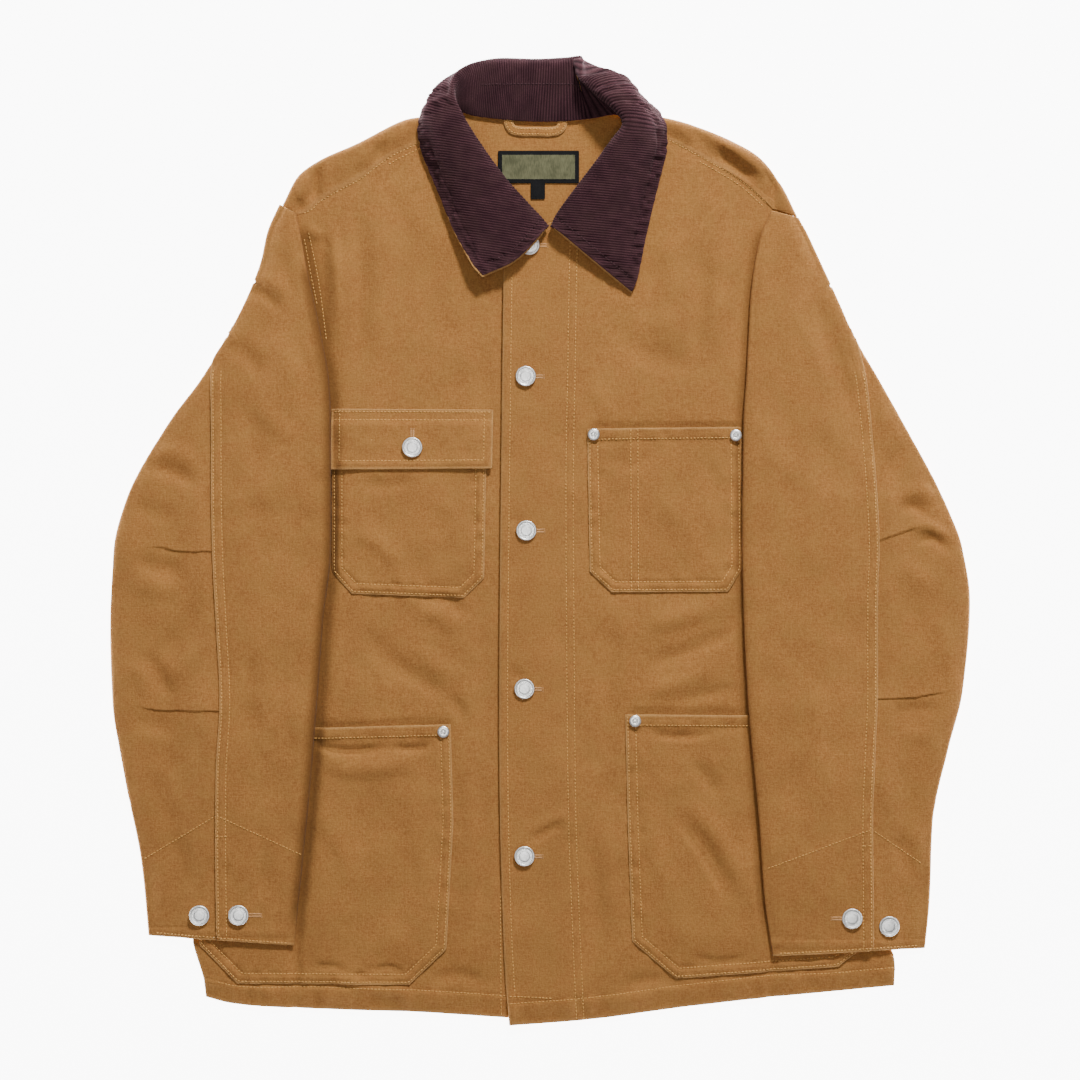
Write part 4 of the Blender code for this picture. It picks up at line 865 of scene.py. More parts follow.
def shell(name, grid, thickness, materials, normals=None, sign=None, same=None, hole=None,
          wear_and_painted_shade=None, pick=None):
    """A closed cloth shell with a rounded rim, from the points of its outer face."""
    rows, across = grid.shape[:2]
    if normals is None:
        normals, sign = sheet_normals(grid)
    index = np.arange(rows * across).reshape(rows, across) if same is None else same
    keep = np.ones((rows - 1, across - 1), bool) if hole is None else ~hole
    faces = quads_of(index, keep, sign)
    outer, flat_normals = grid.reshape(-1, 3), normals.reshape(-1, 3)
    worn = (wear_of(grid) if wear_and_painted_shade is None else wear_and_painted_shade).ravel()
    border, ways = rim_ways(faces, outer, flat_normals)
    count = len(outer)
    blocks = [outer, outer - flat_normals * thickness]
    rub = [worn, worn * 0.4]
    ring_start = {}
    rings = []
    for point in sorted(ways):
        ring_start[point] = 2 * count + len(rings)
        middle = outer[point] - flat_normals[point] * thickness / 2
        for angle in RIM_ANGLES:
            turn = math.radians(angle)
            rings.append(middle + flat_normals[point] * math.cos(turn) * thickness / 2
                         + ways[point] * math.sin(turn) * thickness / 2)
    blocks.append(np.array(rings))
    rub.append(np.ones(len(rings)) * (1.0 if wear_and_painted_shade is None else worn.max()))
    closed = list(faces)
    closed += [[v + count for v in reversed(face)] for face in faces]
    for u, v in border:
        left = [u] + [ring_start[u] + k for k in range(len(RIM_ANGLES))] + [u + count]
        right = [v] + [ring_start[v] + k for k in range(len(RIM_ANGLES))] + [v + count]
        closed += [[right[k], left[k], left[k + 1], right[k + 1]] for k in range(len(left) - 1)]
    points, rub = np.vstack(blocks), np.concatenate(rub)
    points[:, 2] = np.maximum(points[:, 2], 0.0)
    used = np.unique(np.concatenate([np.array(face) for face in closed]))
    renumber = np.zeros(len(points), int)
    renumber[used] = np.arange(len(used))
    thing = new_piece(name, points[used], [renumber[face].tolist() for face in closed], materials)
    mesh = thing.data
    if pick is not None:
        slots = np.zeros(len(mesh.polygons), int)
        slots[:len(faces)] = [pick(outer[face].mean(axis=0)) for face in faces]
        mesh.polygons.foreach_set("material_index", slots)
    # The stored value is rubbed wear above 0 and painted shade below 0.
    value = mesh.attributes.new("wear_and_painted_shade", "FLOAT", "POINT")
    value.data.foreach_set("value", rub[used].astype(np.float32))
    mesh.update()
    OUTER[name] = BVHTree.FromPolygons(outer.tolist(), faces)
    print("%s: %d faces" % (name, len(mesh.polygons)))
    return thing


def refine(grid, start, end, count):
    """Rows walked again: fixed distances from both ends and even steps between."""
    made = []
    for row in grid:
        total = reach_of(row)[-1]
        scale = min(1.0, 0.45 * total / max(start[-1], end[-1], 1e-9))
        first = np.array(start) * scale
        last = total - np.array(end)[::-1] * scale
        middle = np.linspace(first[-1], last[0], count + 2)[1:-1]
        made.append(at_lengths(row, np.concatenate([first, middle, last])))
    return np.array(made)


def refine_both(grid, across, down):
    """The same along the rows and then along the columns."""
    grid = refine(grid, *across)
    return refine(grid.swapaxes(0, 1), *down).swapaxes(0, 1)


def patch(top, bottom, first, second):
    """Plan of a four-sided cut piece, worked out from its four edges (Coons patch)."""
    u = evenly(len(top) - 1)[None, :, None]
    v = evenly(len(first) - 1)[:, None, None]
    top, bottom = top[None], bottom[None]
    first, second = first[:, None], second[:, None]
    corners = mix(mix(top[:, :1], top[:, -1:], u), mix(bottom[:, :1], bottom[:, -1:], u), v)
    return mix(first, second, u) + mix(top, bottom, v) - corners


def raised(plan, height):
    """Plan points given their heights."""
    z = height(plan[..., 0], plan[..., 1])
    return np.concatenate([plan, z[..., None]], axis=2)


print("shell ready, rim of %d steps" % len(RIM_ANGLES))

# %% [markdown]
# ## Back panel
#
# The back is cut in one piece. It lies flat on the table, and at the shoulders it folds
# forward over the top edge and runs up to the shoulder seams, as on any shirt or coat whose
# seams sit in front of the shoulder. The fold is most of a half circle of points between the
# flat part and the strip that shows.

# %% The back
SHOULDER_COLUMNS = 34
NECK_COLUMNS = 30
FOLD_ANGLES = np.linspace(-70.0, 90.0, 9)
STRIP_ROWS = 9
BACK_ROWS = 52

SHOULDER_CREASES = [Crease(*row) for row in [
    # x0, y0, x1, y1, x2, y2, width, depth, lean
    (-180, 308, -184.5, 292, -187, 274, 3.4, -4.4, 0.2),
    (-190, 302, -194, 289, -196, 274, 4, 3, 0),
    (-172, 312, -176, 294, -178, 278, 4, 2, 0),
    (-204, 280, -199, 276, -194, 268, 3, -2.4, 0),
    (-130, 327, -131, 319, -134, 309, 4, -2.4, 0),
    (-140, 322, -142, 314, -146, 302, 5, 1.8, 0),
    (-110, 340, -112, 332, -116, 322, 5, 1.2, 0),
    (138, 334, 164, 316, 188, 298, 5, 4.6, 0),
    (136, 322, 160, 305, 182, 288, 5, -3, 0.2),
    (187, 304, 190, 290, 188, 274, 3.4, -4.6, 0.2),
    (112, 342, 118, 334, 124, 322, 5, 1.6, 0),
    (124, 340, 130, 330, 134, 318, 4, -1.8, 0),
]]


def strip_top(x, y):
    """Upper face of the folded shoulder strip."""
    return body_top(x, y) + 0.4 + creases(SHOULDER_CREASES, x, y)


SHOULDER_CREST = 3.4       # the fold stands higher than the seam


def shoulder_strip(side):
    """The fold's flat end, and the rows over the fold up to the shoulder seam."""
    edge = walk(SHOULDER_FOLD[side], evenly(SHOULDER_COLUMNS))
    join = walk(SHOULDER_SEAM[side], evenly(SHOULDER_COLUMNS))
    inward = unit(join - edge)
    radius = np.full((len(edge), 1), 3.0)
    for _ in range(3):
        middle = edge + inward * radius
        radius = (strip_top(middle[:, 0], middle[:, 1]) + SHOULDER_CREST)[:, None] / 2.0
    rows = []
    for angle in FOLD_ANGLES:
        turn = math.radians(angle)
        plan = middle - inward * radius * math.cos(turn)
        rows.append(np.hstack([plan, radius + radius * math.sin(turn)]))
    end = join + inward * SEAM
    for t in evenly(STRIP_ROWS)[1:]:
        plan = mix(middle, end, t)
        top = strip_top(plan[:, 0], plan[:, 1]) + SHOULDER_CREST * (1.0 - smooth(t))
        rows.append(np.hstack([plan, top[:, None]]))
    return middle, rows


def side_edge(side, name, y_top, count):
    """Points down a panel's armhole and side seam to the hem."""
    foot = np.array(SIDE_FOOT[side])
    y = np.linspace(y_top, foot[0, 1], count + 1)
    return np.vstack([np.stack([side * column(BODY, name, y), y], axis=1), foot[1:]])


def neck_points(fractions, outward):
    """Points beside the neck seam, moved out from the neck or, below 0, into it."""
    fractions = np.asarray(fractions, float)
    before = walk(NECK_SEAM, np.maximum(fractions - 0.01, 0.0))
    after = walk(NECK_SEAM, np.minimum(fractions + 0.01, 1.0))
    along = unit(after - before)
    return walk(NECK_SEAM, fractions) + np.stack([-along[:, 1], along[:, 0]], axis=1) * outward


def back_grid():
    right_flat, right_rows = shoulder_strip(RIGHT)
    left_flat, left_rows = shoulder_strip(LEFT)
    neck = neck_points(mix(NECK_BACK[0], NECK_BACK[1], evenly(NECK_COLUMNS)), BACK_UNDERLAP)
    top = np.vstack([right_flat, neck, left_flat[::-1]])
    shares = (top[:, 0] - top[0, 0]) / (top[-1, 0] - top[0, 0])
    bottom = walk(BACK_HEM, shares, rounded=False)
    first = walk(side_edge(RIGHT, "back", top[0, 1], 60), evenly(BACK_ROWS), rounded=False)
    second = walk(side_edge(LEFT, "back", top[-1, 1], 60), evenly(BACK_ROWS), rounded=False)
    first[0], second[0], first[-1], second[-1] = top[0], top[-1], bottom[0], bottom[-1]
    flat = patch(top, bottom, first, second)
    flat = np.concatenate([flat, np.zeros(flat.shape[:2] + (1,))], axis=2)
    gap = np.full((len(neck), 3), [0.0, 340.0, 0.0])
    lifted = [np.vstack([r, gap, l[::-1]]) for r, l in zip(right_rows, left_rows)]
    grid = np.array(lifted[::-1] + list(flat))
    hole = np.zeros((grid.shape[0] - 1, grid.shape[1] - 1), bool)
    start = len(right_flat) - 1
    hole[:len(lifted), start:start + len(neck) + 1] = True
    return grid, hole


grid, hole = back_grid()
normals = unit(np.cross(np.gradient(grid, axis=0), np.gradient(grid, axis=1)))
flat_row = len(FOLD_ANGLES) + STRIP_ROWS
normals[flat_row:] = (0.0, 0.0, -1.0)
wear_and_painted_shade = np.zeros(grid.shape[:2])
wear_and_painted_shade[:2] = 0.3
first_normal = np.cross(grid[-1, 5] - grid[-2, 5], grid[-2, 6] - grid[-2, 5])
back_sign = 1.0 if first_normal[2] < 0.0 else -1.0
normals[:flat_row] *= back_sign
back = shell("back_cloth", grid, CLOTH, [DUCK], normals, back_sign, hole=hole, wear_and_painted_shade=wear_and_painted_shade)

# %% [markdown]
# ## Fronts
#
# Each front is one cut piece from the shoulder seam to the hem. The left one carries a wide
# band, with one row of sewing beside its folded edge and two on its other side, and that edge
# laps over the right front. Sewing draws the cloth in, so a shallow groove runs along each row
# with puckers across it, and the hem, which is two layers thick, stands a little higher and
# ripples. The mesh is finer along the hem, the edges and the band, where those small forms are.

# %% Sewing lines of the fronts
HEM_DEPTH = 17.5
HEM_TAPER = 3.0
HEM_SWELL = 0.5
HEM_RIPPLE = 1.6
RIPPLE_DRAWN = 0.35        # ripples run across the hem, so they are longer along Y
HEM_FALL = 2.4             # the hem bends down towards the table
LAP_SINK = 1.3             # the front beneath sinks beside the lap
LAP_REACH = 11.0
LAP_SPRING = 1.5           # the lapped edge stands off the front beneath
BAND_EDGE = 6.6            # the first row beside the band's folded edge
BAND_ROWS = 6.0            # between the two rows on the band's other side
FACING_LINE = -32.4        # where the right front's facing is sewn, below the lap
BAND_LINE = [(25.6, 262.0), (24.2, 230.0), (22.6, 134.0), (21.3, 64.0), (21.8, -80.0),
             (23.4, -230), (25.8, -299), (29.9, -393)]


def groove(distance, width=1.3, depth=0.32):
    """The furrow that a row of stitches draws."""
    return -depth * hump(distance, width)


def pucker(x, y, distance, reach, size, seed, height=0.3):
    """Small ripples across a seam, dying away from it."""
    return height * noise(x, y, size, seed) * hump(distance, reach)


def hem_depth(x):
    """How far the hem's sewing lies from the edge: less towards the side seams."""
    return HEM_DEPTH - HEM_TAPER * smooth((np.abs(x) - 180.0) / 70.0)


def hem_relief(side, x, y):
    """The turned-up hem: two layers that ripple along the sewing."""
    line = walk(HEM[side], evenly(60))
    distance = np.abs(beside(line, x, y)[0])
    depth = hem_depth(x)
    inside = smooth((depth + 1.0 - distance) / 2.0)
    drawn = y * RIPPLE_DRAWN
    ripple = noise(x, drawn, 9.0, 21) + 0.5 * noise(x, drawn, 5.0, 22)
    return (HEM_SWELL * inside + groove(distance - depth, 1.6, 0.5)
            + HEM_RIPPLE * ripple * hump(distance - 0.55 * depth, 13.0)
            - HEM_FALL * smooth(1.0 - distance / 15.0))


def edge_x(side, y):
    """Where the centre edge of a front lies at height y."""
    line = walk(CENTRE_EDGE[side], evenly(80))[::-1]
    return np.interp(y, line[:, 1], line[:, 0])


def right_top(x, y):
    """The right front, with its own facing sewn along the edge."""
    facing = FACING_LINE - x
    sewn = groove(facing) + pucker(x, y, facing, 9.0, 8.0, 31)
    lap = LAP_SINK * smooth(1.0 - (edge_x(LEFT, y) - x) / LAP_REACH)
    lap = lap * smooth((235.0 - y) / 20.0) * smooth((y + 290.0) / 20.0)
    top = above(body_top(x, y) + mouth_troughs(x, y) + pocket_drag(x, y) - lap, FRONT_FLOOR)
    return top + sewn * smooth((-285.0 - y) / 10.0) + hem_relief(RIGHT, x, y)


def left_top(x, y):
    """The left front, with its lapped edge and the band's two rows of sewing."""
    from_edge = x - edge_x(LEFT, y)
    band = np.interp(y, [p[1] for p in BAND_LINE[::-1]], [p[0] for p in BAND_LINE[::-1]])
    rows = [from_edge - BAND_EDGE, x - band, x - band - BAND_ROWS]
    sewn = sum(groove(r) for r in rows) + pucker(x, y, rows[0], 8.0, 9.0, 41, 0.22)
    sewn = sewn + pucker(x, y, rows[1] - BAND_ROWS / 2, 12.0, 11.0, 42, 0.3)
    swell = 0.35 * hump(rows[1] - BAND_ROWS / 2, 5.0)
    swell = swell + LAP_SPRING * smooth(1.0 - from_edge / 12.0) - 0.8 * smooth(1 - from_edge / 1.8)
    top = above(left_front_top(x, y) + mouth_troughs(x, y) + pocket_drag(x, y), FRONT_FLOOR)
    return top + sewn + swell + hem_relief(LEFT, x, y)


# %% The fronts
ARMHOLE_SPLIT = 196.0      # the armhole's points are spaced apart from those of the side below it


def front_plan(side):
    """Plan of a front: shoulder seam, neckline and centre edge, side edge and hem."""
    seam = walk(SHOULDER_SEAM[side], evenly(90))
    hem = walk(HEM[side], evenly(90))
    neck_end = 0.0 if side == RIGHT else 1.0
    turns = mix(NECK_TURN[side], neck_end, np.array((0.1, 0.3, 0.5, 0.7, 0.9)))
    centre = np.array(CENTRE_EDGE[side])
    neckline = np.vstack([seam[-1:], neck_points(turns, -NECK_UNDERLAP), centre[:1]])
    inner = np.vstack([walk(neckline, evenly(24))[:-1], walk(centre, evenly(80))])
    y = mix(seam[0, 1], ARMHOLE_SPLIT, evenly(24))
    armhole = np.stack([side * column(BODY, "front", y), y], axis=1)
    outer = np.vstack([armhole[:-1],
                       walk(side_edge(side, "front", ARMHOLE_SPLIT, 60), evenly(80), rounded=False)])
    outer[0], outer[-1], inner[-1] = seam[0], hem[0], hem[-1]
    return patch(seam, hem, outer, inner)


ARMHOLE_ROW = [(-189.6, 252.0), (-181.6, 213.0), (-173.0, 150.0)]


def painted_shade_beside(side, x, y):
    """How much painted shade the cloth gets beside a sleeve's folded edge, where the furrow lies in
    shade.
    """
    table = RIGHT_SLEEVE if side == RIGHT else LEFT_SLEEVE
    gap = column(table, "fold", y) - side * x
    reach = PAINTED_FURROW_REACH[side]
    if side == RIGHT:
        row = np.interp(y, [point[1] for point in ARMHOLE_ROW[::-1]],
                        [point[0] for point in ARMHOLE_ROW[::-1]])
        near_armhole = smooth((y - 150.0) / 30.0)
        reach = mix(reach, np.maximum(column(table, "fold", y) + row + 9.0, reach), near_armhole)
    fade = smooth((FURROW_HEAD - y) / 16.0) * smooth((y - FURROW_FOOT) / 50.0)
    return PAINTED_FURROW_SHADE[side] * fade * smooth(1.15 - gap / reach)


def front_wear_and_painted_shade(plan):
    """Edges rub most along the hem and the centre, hardly at the shoulder; beside the sleeves the value
    turns to painted shade.
    """
    x, y = plan[..., 0], plan[..., 1]
    rubbed = wear_of(plan) * mix(0.25, 0.75, smooth((240.0 - y) / 40.0))
    painted_shade = np.maximum(painted_shade_beside(RIGHT, x, y), painted_shade_beside(LEFT, x, y))
    return mix(rubbed, -1.0, painted_shade)


EDGE_MARKS = (0.0, 0.6, 1.4, 2.6, 4.2, 5.6, 6.6, 7.6, 9.2)
SEAM_MARKS = (0.0, 0.8, 2.0, 4.0, 6.0, 7.0, 8.0, 10.0)
HEM_MARKS = (0.0, 1.0, 2.5, 4.5, 7.0, 9.5, 12.0, 14.0, 15.2, 16.2, 17.2, 18.2, 19.4, 21.5, 24.5)
BAND_MARKS = EDGE_MARKS + tuple(np.arange(12.0, 50.0, 3.2)) + tuple(np.arange(50.0, 68.0, 1.1))

down = (SEAM_MARKS, HEM_MARKS, 184)
right_grid = refine_both(front_plan(RIGHT), (SEAM_MARKS, EDGE_MARKS, 84), down)
left_grid = refine_both(front_plan(LEFT), (SEAM_MARKS, BAND_MARKS, 70), down)
front_right = shell("front_right_panel", raised(right_grid, right_top), CLOTH, [DUCK],
                    wear_and_painted_shade=front_wear_and_painted_shade(right_grid))
front_left = shell("front_left_panel", raised(left_grid, left_top), CLOTH, [DUCK],
                   wear_and_painted_shade=front_wear_and_painted_shade(left_grid))

# %% [markdown]
# ## Sleeves
#
# A two-piece work sleeve, flattened: an inner panel over the chest side and an outer panel
# along the elbow, joined by a felled seam that shows down the middle and by a second seam
# underneath. A section is a flat tube, so its points are worked out from the distance along
# the cloth: round one edge fold, over the top layer, round the other. Where the seam shows,
# the inner panel laps over the outer one. Two tucks give the elbow its room, and at the cuff
# the lap opens as a vent.

# %% Creases of the sleeves
SLEEVE_LOFT = 7.0
CUFF_LOFT = 3.5        # the hemmed cuff lies flatter
SLEEVE_LAY = 0.7
ROLL_OFF = 2.6         # how much lower a sleeve lies beside its folded edges
ROLL_REACH = 15.0
FOLD_LIFT = {RIGHT: 5.0, LEFT: 1.0}    # how much fuller the fold beside the chest is
FOLD_REACH = 22.0
# how much painted shade darkens each sleeve's roll beside its chest fold
PAINTED_FOLD_SHADE = {RIGHT: 0.75, LEFT: 0.0}
CUFF_END = {RIGHT: -327.5, LEFT: -337.0}
CUFF_DROP = 0.9        # the cuff's end bends down
RAMP = 12.0
HIP_PAD = CLOTH_CUT + LAY

SLEEVE_CREASES = [Crease(*row) for row in [
    # x0, y0, x1, y1, x2, y2, width, depth, lean
    # wearer's right sleeve, cap and upper arm
    (-244, 203, -226, 200, -211, 184, 6, -2.6, 0.4),
    (-241, 214, -221, 211, -203, 192, 8, 2, 0),
    (-262, 158, -244, 152, -224, 128, 7, -2, 0.3),
    (-236, 168, -214, 156, -196, 122, 10, 1.5, 0),
    (-214, 244, -206, 218, -202, 190, 6, -1.4, 0),
    (-250, 120, -238, 96, -232, 50, 9, -1.5, 0.2),
    (-228, 112, -214, 92, -190, 84, 8, 1.4, 0),
    (-246, 30, -222, 20, -196, 30, 9, -1.2, 0),
    # wearer's right sleeve, elbow
    (-330, 62, -302, 54, -274, 42, 5.5, -2.5, 0.3),
    (-322, 76, -296, 70, -276, 58, 7, 1.8, 0),
    (-336, 30, -314, 22, -296, 20, 7, -1.4, 0),
    (-334, -12, -316, -24, -288, -26, 7, -2.2, 0.3),
    (-338, -28, -318, -38, -290, -42, 8, 1.7, 0),
    (-272, -36, -290, -70, -318, -104, 9, -2.5, 0.3),
    (-280, -78, -292, -100, -310, -122, 9, 1.7, 0),
    (-328, -92, -314, -106, -304, -134, 5, -2.2, 0.2),
    (-338, -96, -326, -112, -318, -136, 6, 1.7, 0),
    (-338, -148, -320, -152, -296, -158, 8, -1.8, 0.3),
    # wearer's right sleeve, forearm
    (-322, -176, -306, -196, -292, -232, 9, 1.5, 0),
    (-304, -236, -292, -262, -288, -292, 8, -1.7, 0.2),
    (-318, -250, -308, -280, -306, -310, 8, 1.2, 0),
    (-232, -222, -226, -262, -232, -300, 7, -1.4, 0.2),
    (-216, -60, -222, -124, -214, -190, 11, 1.2, 0),
    (-242, -72, -238, -130, -244, -180, 8, -1.2, 0.2),
    # wearer's left sleeve, cap and upper arm
    (206, 254, 196, 226, 188, 196, 8, -1.4, 0.2),
    (226, 202, 236, 168, 252, 134, 7, -2.5, 0.3),
    (216, 188, 226, 150, 244, 106, 9, 1.7, 0),
    (238, 160, 248, 126, 256, 92, 6, -2, 0.2),
    (196, 170, 204, 110, 206, 52, 10, -1.2, 0.2),
    (184, 130, 190, 70, 186, 10, 9, 1.2, 0),
    (232, 96, 236, 46, 230, -20, 10, -1.2, 0.2),
    # wearer's left sleeve, elbow
    (292, 24, 304, 26, 318, 20, 5, -3.6, 0.3),
    (296, 38, 312, 40, 328, 32, 6, 1.8, 0),
    (284, 46, 292, 66, 306, 86, 7, -1.4, 0),
    (300, 8, 318, 12, 334, -2, 5, 2.4, 0),
    (306, -4, 322, 0, 336, -14, 4.5, -2.7, 0.3),
    (286, -18, 302, -26, 324, -44, 8, 1.5, 0),
    (298, -40, 306, -66, 310, -98, 9, -1.8, 0.2),
    (322, -52, 330, -80, 330, -108, 7, 1.4, 0),
    (284, -142, 308, -140, 334, -138, 6, -1.5, 0.2),
    (290, -156, 312, -160, 328, -158, 7, 1.4, 0),
    # wearer's left sleeve, forearm
    (296, -178, 302, -206, 300, -240, 8, -1.4, 0.2),
    (286, -238, 298, -258, 306, -284, 8, -2, 0.3),
    (310, -226, 306, -262, 298, -300, 7, 1.4, 0),
    (214, -120, 206, -172, 212, -232, 8, -1.4, 0.2),
    (232, -110, 226, -170, 232, -230, 9, 1.4, 0),
    (252, -150, 244, -196, 250, -240, 6, -1.4, 0.2),
]]


def hip_pad(y):
    """Extra height of what lies over a hip pocket."""
    return HIP_PAD * smooth((-112.0 - y) / 26.0)


def on_body(side, out, y, on_front):
    """Lower face of cloth that lies on the body: on its front, or on its back only."""
    over_front = body_top(side * out, y) + SLEEVE_LAY + hip_pad(y)
    return mix(CLOTH_CUT + SEAM, over_front, on_front)


def lower_layer(side, out, y, on_front):
    """Lower face of a sleeve: on the table, then up over the body's edge."""
    climb = smooth((column(BODY, "back", y) + 1.5 + RAMP - out) / RAMP)
    return on_body(side, out, y, on_front) * climb


def upper_layer(side, out, y):
    """Upper face of a sleeve, higher where the body lies beneath it."""
    table = RIGHT_SLEEVE if side == RIGHT else LEFT_SLEEVE
    climb = smooth((column(BODY, "back", y) + RAMP + 9.0 - out) / 32.0)
    edge = np.minimum(out - column(table, "fold", y), column(table, "outer", y) - out)
    loft = mix(CUFF_LOFT, SLEEVE_LOFT, smooth((y + 320.0) / 90.0))
    loft = loft - ROLL_OFF * (1.0 - np.clip(edge / ROLL_REACH, 0.0, 1.0)) ** 2
    fold_gap = np.clip((out - column(table, "fold", y)) / FOLD_REACH, 0.0, 1.0)
    lifted = smooth((y - CUFF_END[side]) / 60.0) * smooth((240.0 - y) / 60.0)
    loft = loft + FOLD_LIFT[side] * lifted * (1.0 - fold_gap) ** 2
    loft = loft - CUFF_DROP * smooth(1.0 - (y - CUFF_END[side]) / 7.0)
    swell = creases(SLEEVE_CREASES, side * out, y) + washed(side * out, y, 5, 1.1, 1.6)
    filled = above(loft + swell * smooth(edge / 6.0 + 0.3), SLEEVE_FLOOR)
    return filled + on_body(side, out, y, 1.0) * climb


# %% Sections of a sleeve
Cut = namedtuple("Cut", "table cap cuff seam_top tucks")
RIGHT_CUT = Cut(RIGHT_SLEEVE, 270.6, -327.5, 208.0, [
    [(-262.0, -9.6), (-298.9, -8.6), (-312.0, -5.3), (-324.0, -7.0)],
    [(-260.0, -139.8), (-312.0, -139.0), (-336.0, -135.0)],
])
LEFT_CUT = Cut(LEFT_SLEEVE, 266.2, -337.0, 208.0, [
    [(272.0, -2.6), (294.0, 5.3), (313.0, 12.6)],
    [(270.0, -130.2), (303.0, -129.2), (340.0, -122.8)],
])
SEAM_TOP_END = 164.0   # above this the visible seam runs on the underside
SEAM_TOP_WIDTH = 8.0
SECTION_POINTS = 150
SLEEVE_STEP = 3.6
TUCK_STEP = 0.8
INNER_MARKS = (0.0, 0.7, 1.6, 2.6, 4.2, 6.0, 7.2, 8.2, 9.4, 12.0)
OUTER_MARKS = (0.0, 1.2, 2.6, 4.2, 6.0)
END_MARKS = (0.0, 1.0, 3.0)
CORNER = 6.0           # rounding of the cuff's corner beside the vent


def tube_at(side, cut, y, edge_name, on_front):
    """The flattened sleeve beside one of its edge folds, "outer" or "fold"."""
    tilt = column(cut.table, "tilt", y)
    outer = column(cut.table, "outer", y + tilt / 2.0)
    fold = column(cut.table, "fold", y - tilt / 2.0)
    edge, inward = (outer, -1.0) if edge_name == "outer" else (fold, 1.0)
    slope = tilt / (outer - fold)
    near = edge + inward * SLEEVE_LOFT / 2.0
    level = y + slope * (near - fold) - tilt / 2.0
    high = upper_layer(side, near, level)
    low = lower_layer(side, near, level, on_front)
    return edge, inward, high, low, fold, outer, slope, tilt


def sleeve_points(side, cut, y, edge_name, distance, on_front):
    """Points of the outer face at distances along the cloth from an edge fold.

    The distance is positive over the upper layer and negative under the lower one.
    """
    edge, inward, high, low, fold, outer, slope, tilt = tube_at(side, cut, y, edge_name, on_front)
    radius = (high - low) / 2.0
    quarter = radius * math.pi / 2.0
    angle = np.clip(distance / radius, -math.pi / 2, math.pi / 2)
    past = np.maximum(np.abs(distance) - quarter, 0.0)
    out = edge + inward * (radius * (1.0 - np.cos(angle)) + past)
    level = y + slope * (out - fold) - tilt / 2.0
    round_z = (high + low) / 2.0 + radius * np.sin(angle)
    flat_z = np.where(distance > 0.0, upper_layer(side, out, level),
                      lower_layer(side, out, level, on_front))
    z = mix(round_z, flat_z, smooth(past / 3.0))
    return np.stack([side * out, level + 0.0 * out, z], axis=-1)


def along_top(side, cut, y, edge_name, out, on_front=0.0):
    """Distance along the cloth from an edge fold to a place on the upper layer."""
    edge, inward, high, low = tube_at(side, cut, y, edge_name, on_front)[:4]
    radius = (high - low) / 2.0
    reach = np.maximum(np.abs(edge - out), 0.0)
    return np.where(reach < radius, radius * math.pi / 2 * reach / radius,
                    reach - radius + radius * math.pi / 2)


def under_at(side, cut, y, edge_name, name, offset, on_front):
    """Distance along the lower layer to a place beside one of the body's edges."""
    edge, inward, high, low, fold, outer, slope, tilt = tube_at(side, cut, y, edge_name, on_front)
    out = column(BODY, name, y) + offset
    out = column(BODY, name, y + slope * (out - fold) - tilt / 2.0) + offset
    radius = (high - low) / 2.0
    return -(np.abs(edge - out) - radius + radius * math.pi / 2.0)


def seam_distance(side, cut, y):
    """Where the visible seam lies, from the outer edge fold."""
    armhole = under_at(side, cut, y, "outer", "sleeve_back", 0.0, 0.0)
    turning = (armhole + SEAM_TOP_WIDTH) * (y - SEAM_TOP_END) / (cut.seam_top - SEAM_TOP_END)
    visible = along_top(side, cut, y, "outer", column(cut.table, "seam", y))
    below = np.where(y >= SEAM_TOP_END, turning, visible)
    return np.where(y > cut.seam_top + 0.6, armhole, below)


def sleeve_levels(cut, top, tucked):
    """Heights of a sleeve's rows, closer at the tucks and along the cuff."""
    levels = [top]
    places = [np.mean([p[1] for p in tuck]) for tuck in cut.tucks] if tucked else []
    while levels[-1] > cut.cuff + 0.3:
        y = levels[-1]
        close = any(abs(y - place) < 13.0 for place in places)
        step = TUCK_STEP if close else 1.1 if y < cut.cuff + 13.0 else SLEEVE_STEP
        levels.append(max(y - step, cut.cuff))
    return np.array(levels)[:, None]


def row_run(start, end):
    return mix(start, end, evenly(SECTION_POINTS)[None, :])


# %% The sleeve panels
def seam_relief(distance, x, y, reach=9.0, seed=51):
    """A felled seam: a raised band of folded cloth, its two rows of sewing and puckers."""
    band = 0.45 * smooth(1.0 - (distance - 6.0) / 3.0)
    rows = groove(distance - 1.6, 1.1, 0.28) + groove(distance - 8.0, 1.3, 0.4)
    return band + rows + pucker(x, y, distance - 6.0, reach, 7.5, seed, 0.4)


def cuff_relief(cut, x, y):
    from_cuff = y - cut.cuff
    return (0.35 * smooth(1.0 - (from_cuff - 8.0) / 3.0) + groove(from_cuff - 1.8, 1.0, 0.25)
            + groove(from_cuff - 10.0, 1.4, 0.3)
            + pucker(x, y, from_cuff - 8.0, 12.0, 9.0, 61, 0.4))


def sleeve_wear_and_painted_shade(side, cut, grid):
    """Edges rub along the seam and the cuff, hardly at the cap; painted shade darkens the roll by the
    chest fold.
    """
    x, y = side * grid[..., 0], grid[..., 1]
    rubbed = wear_of(grid) * mix(0.15, 0.85, smooth((225.0 - y) / 40.0))
    past = x - column(cut.table, "fold", y)
    # Painted shade on the roll beside the chest fold, where the sleeve turns away from the light.
    kept = PAINTED_FOLD_SHADE[side] * smooth((232.0 - y) / 20.0) * smooth(1.1 - past / 9.0)
    return mix(rubbed, -1.0, kept * smooth((y - cut.cuff) / 30.0))


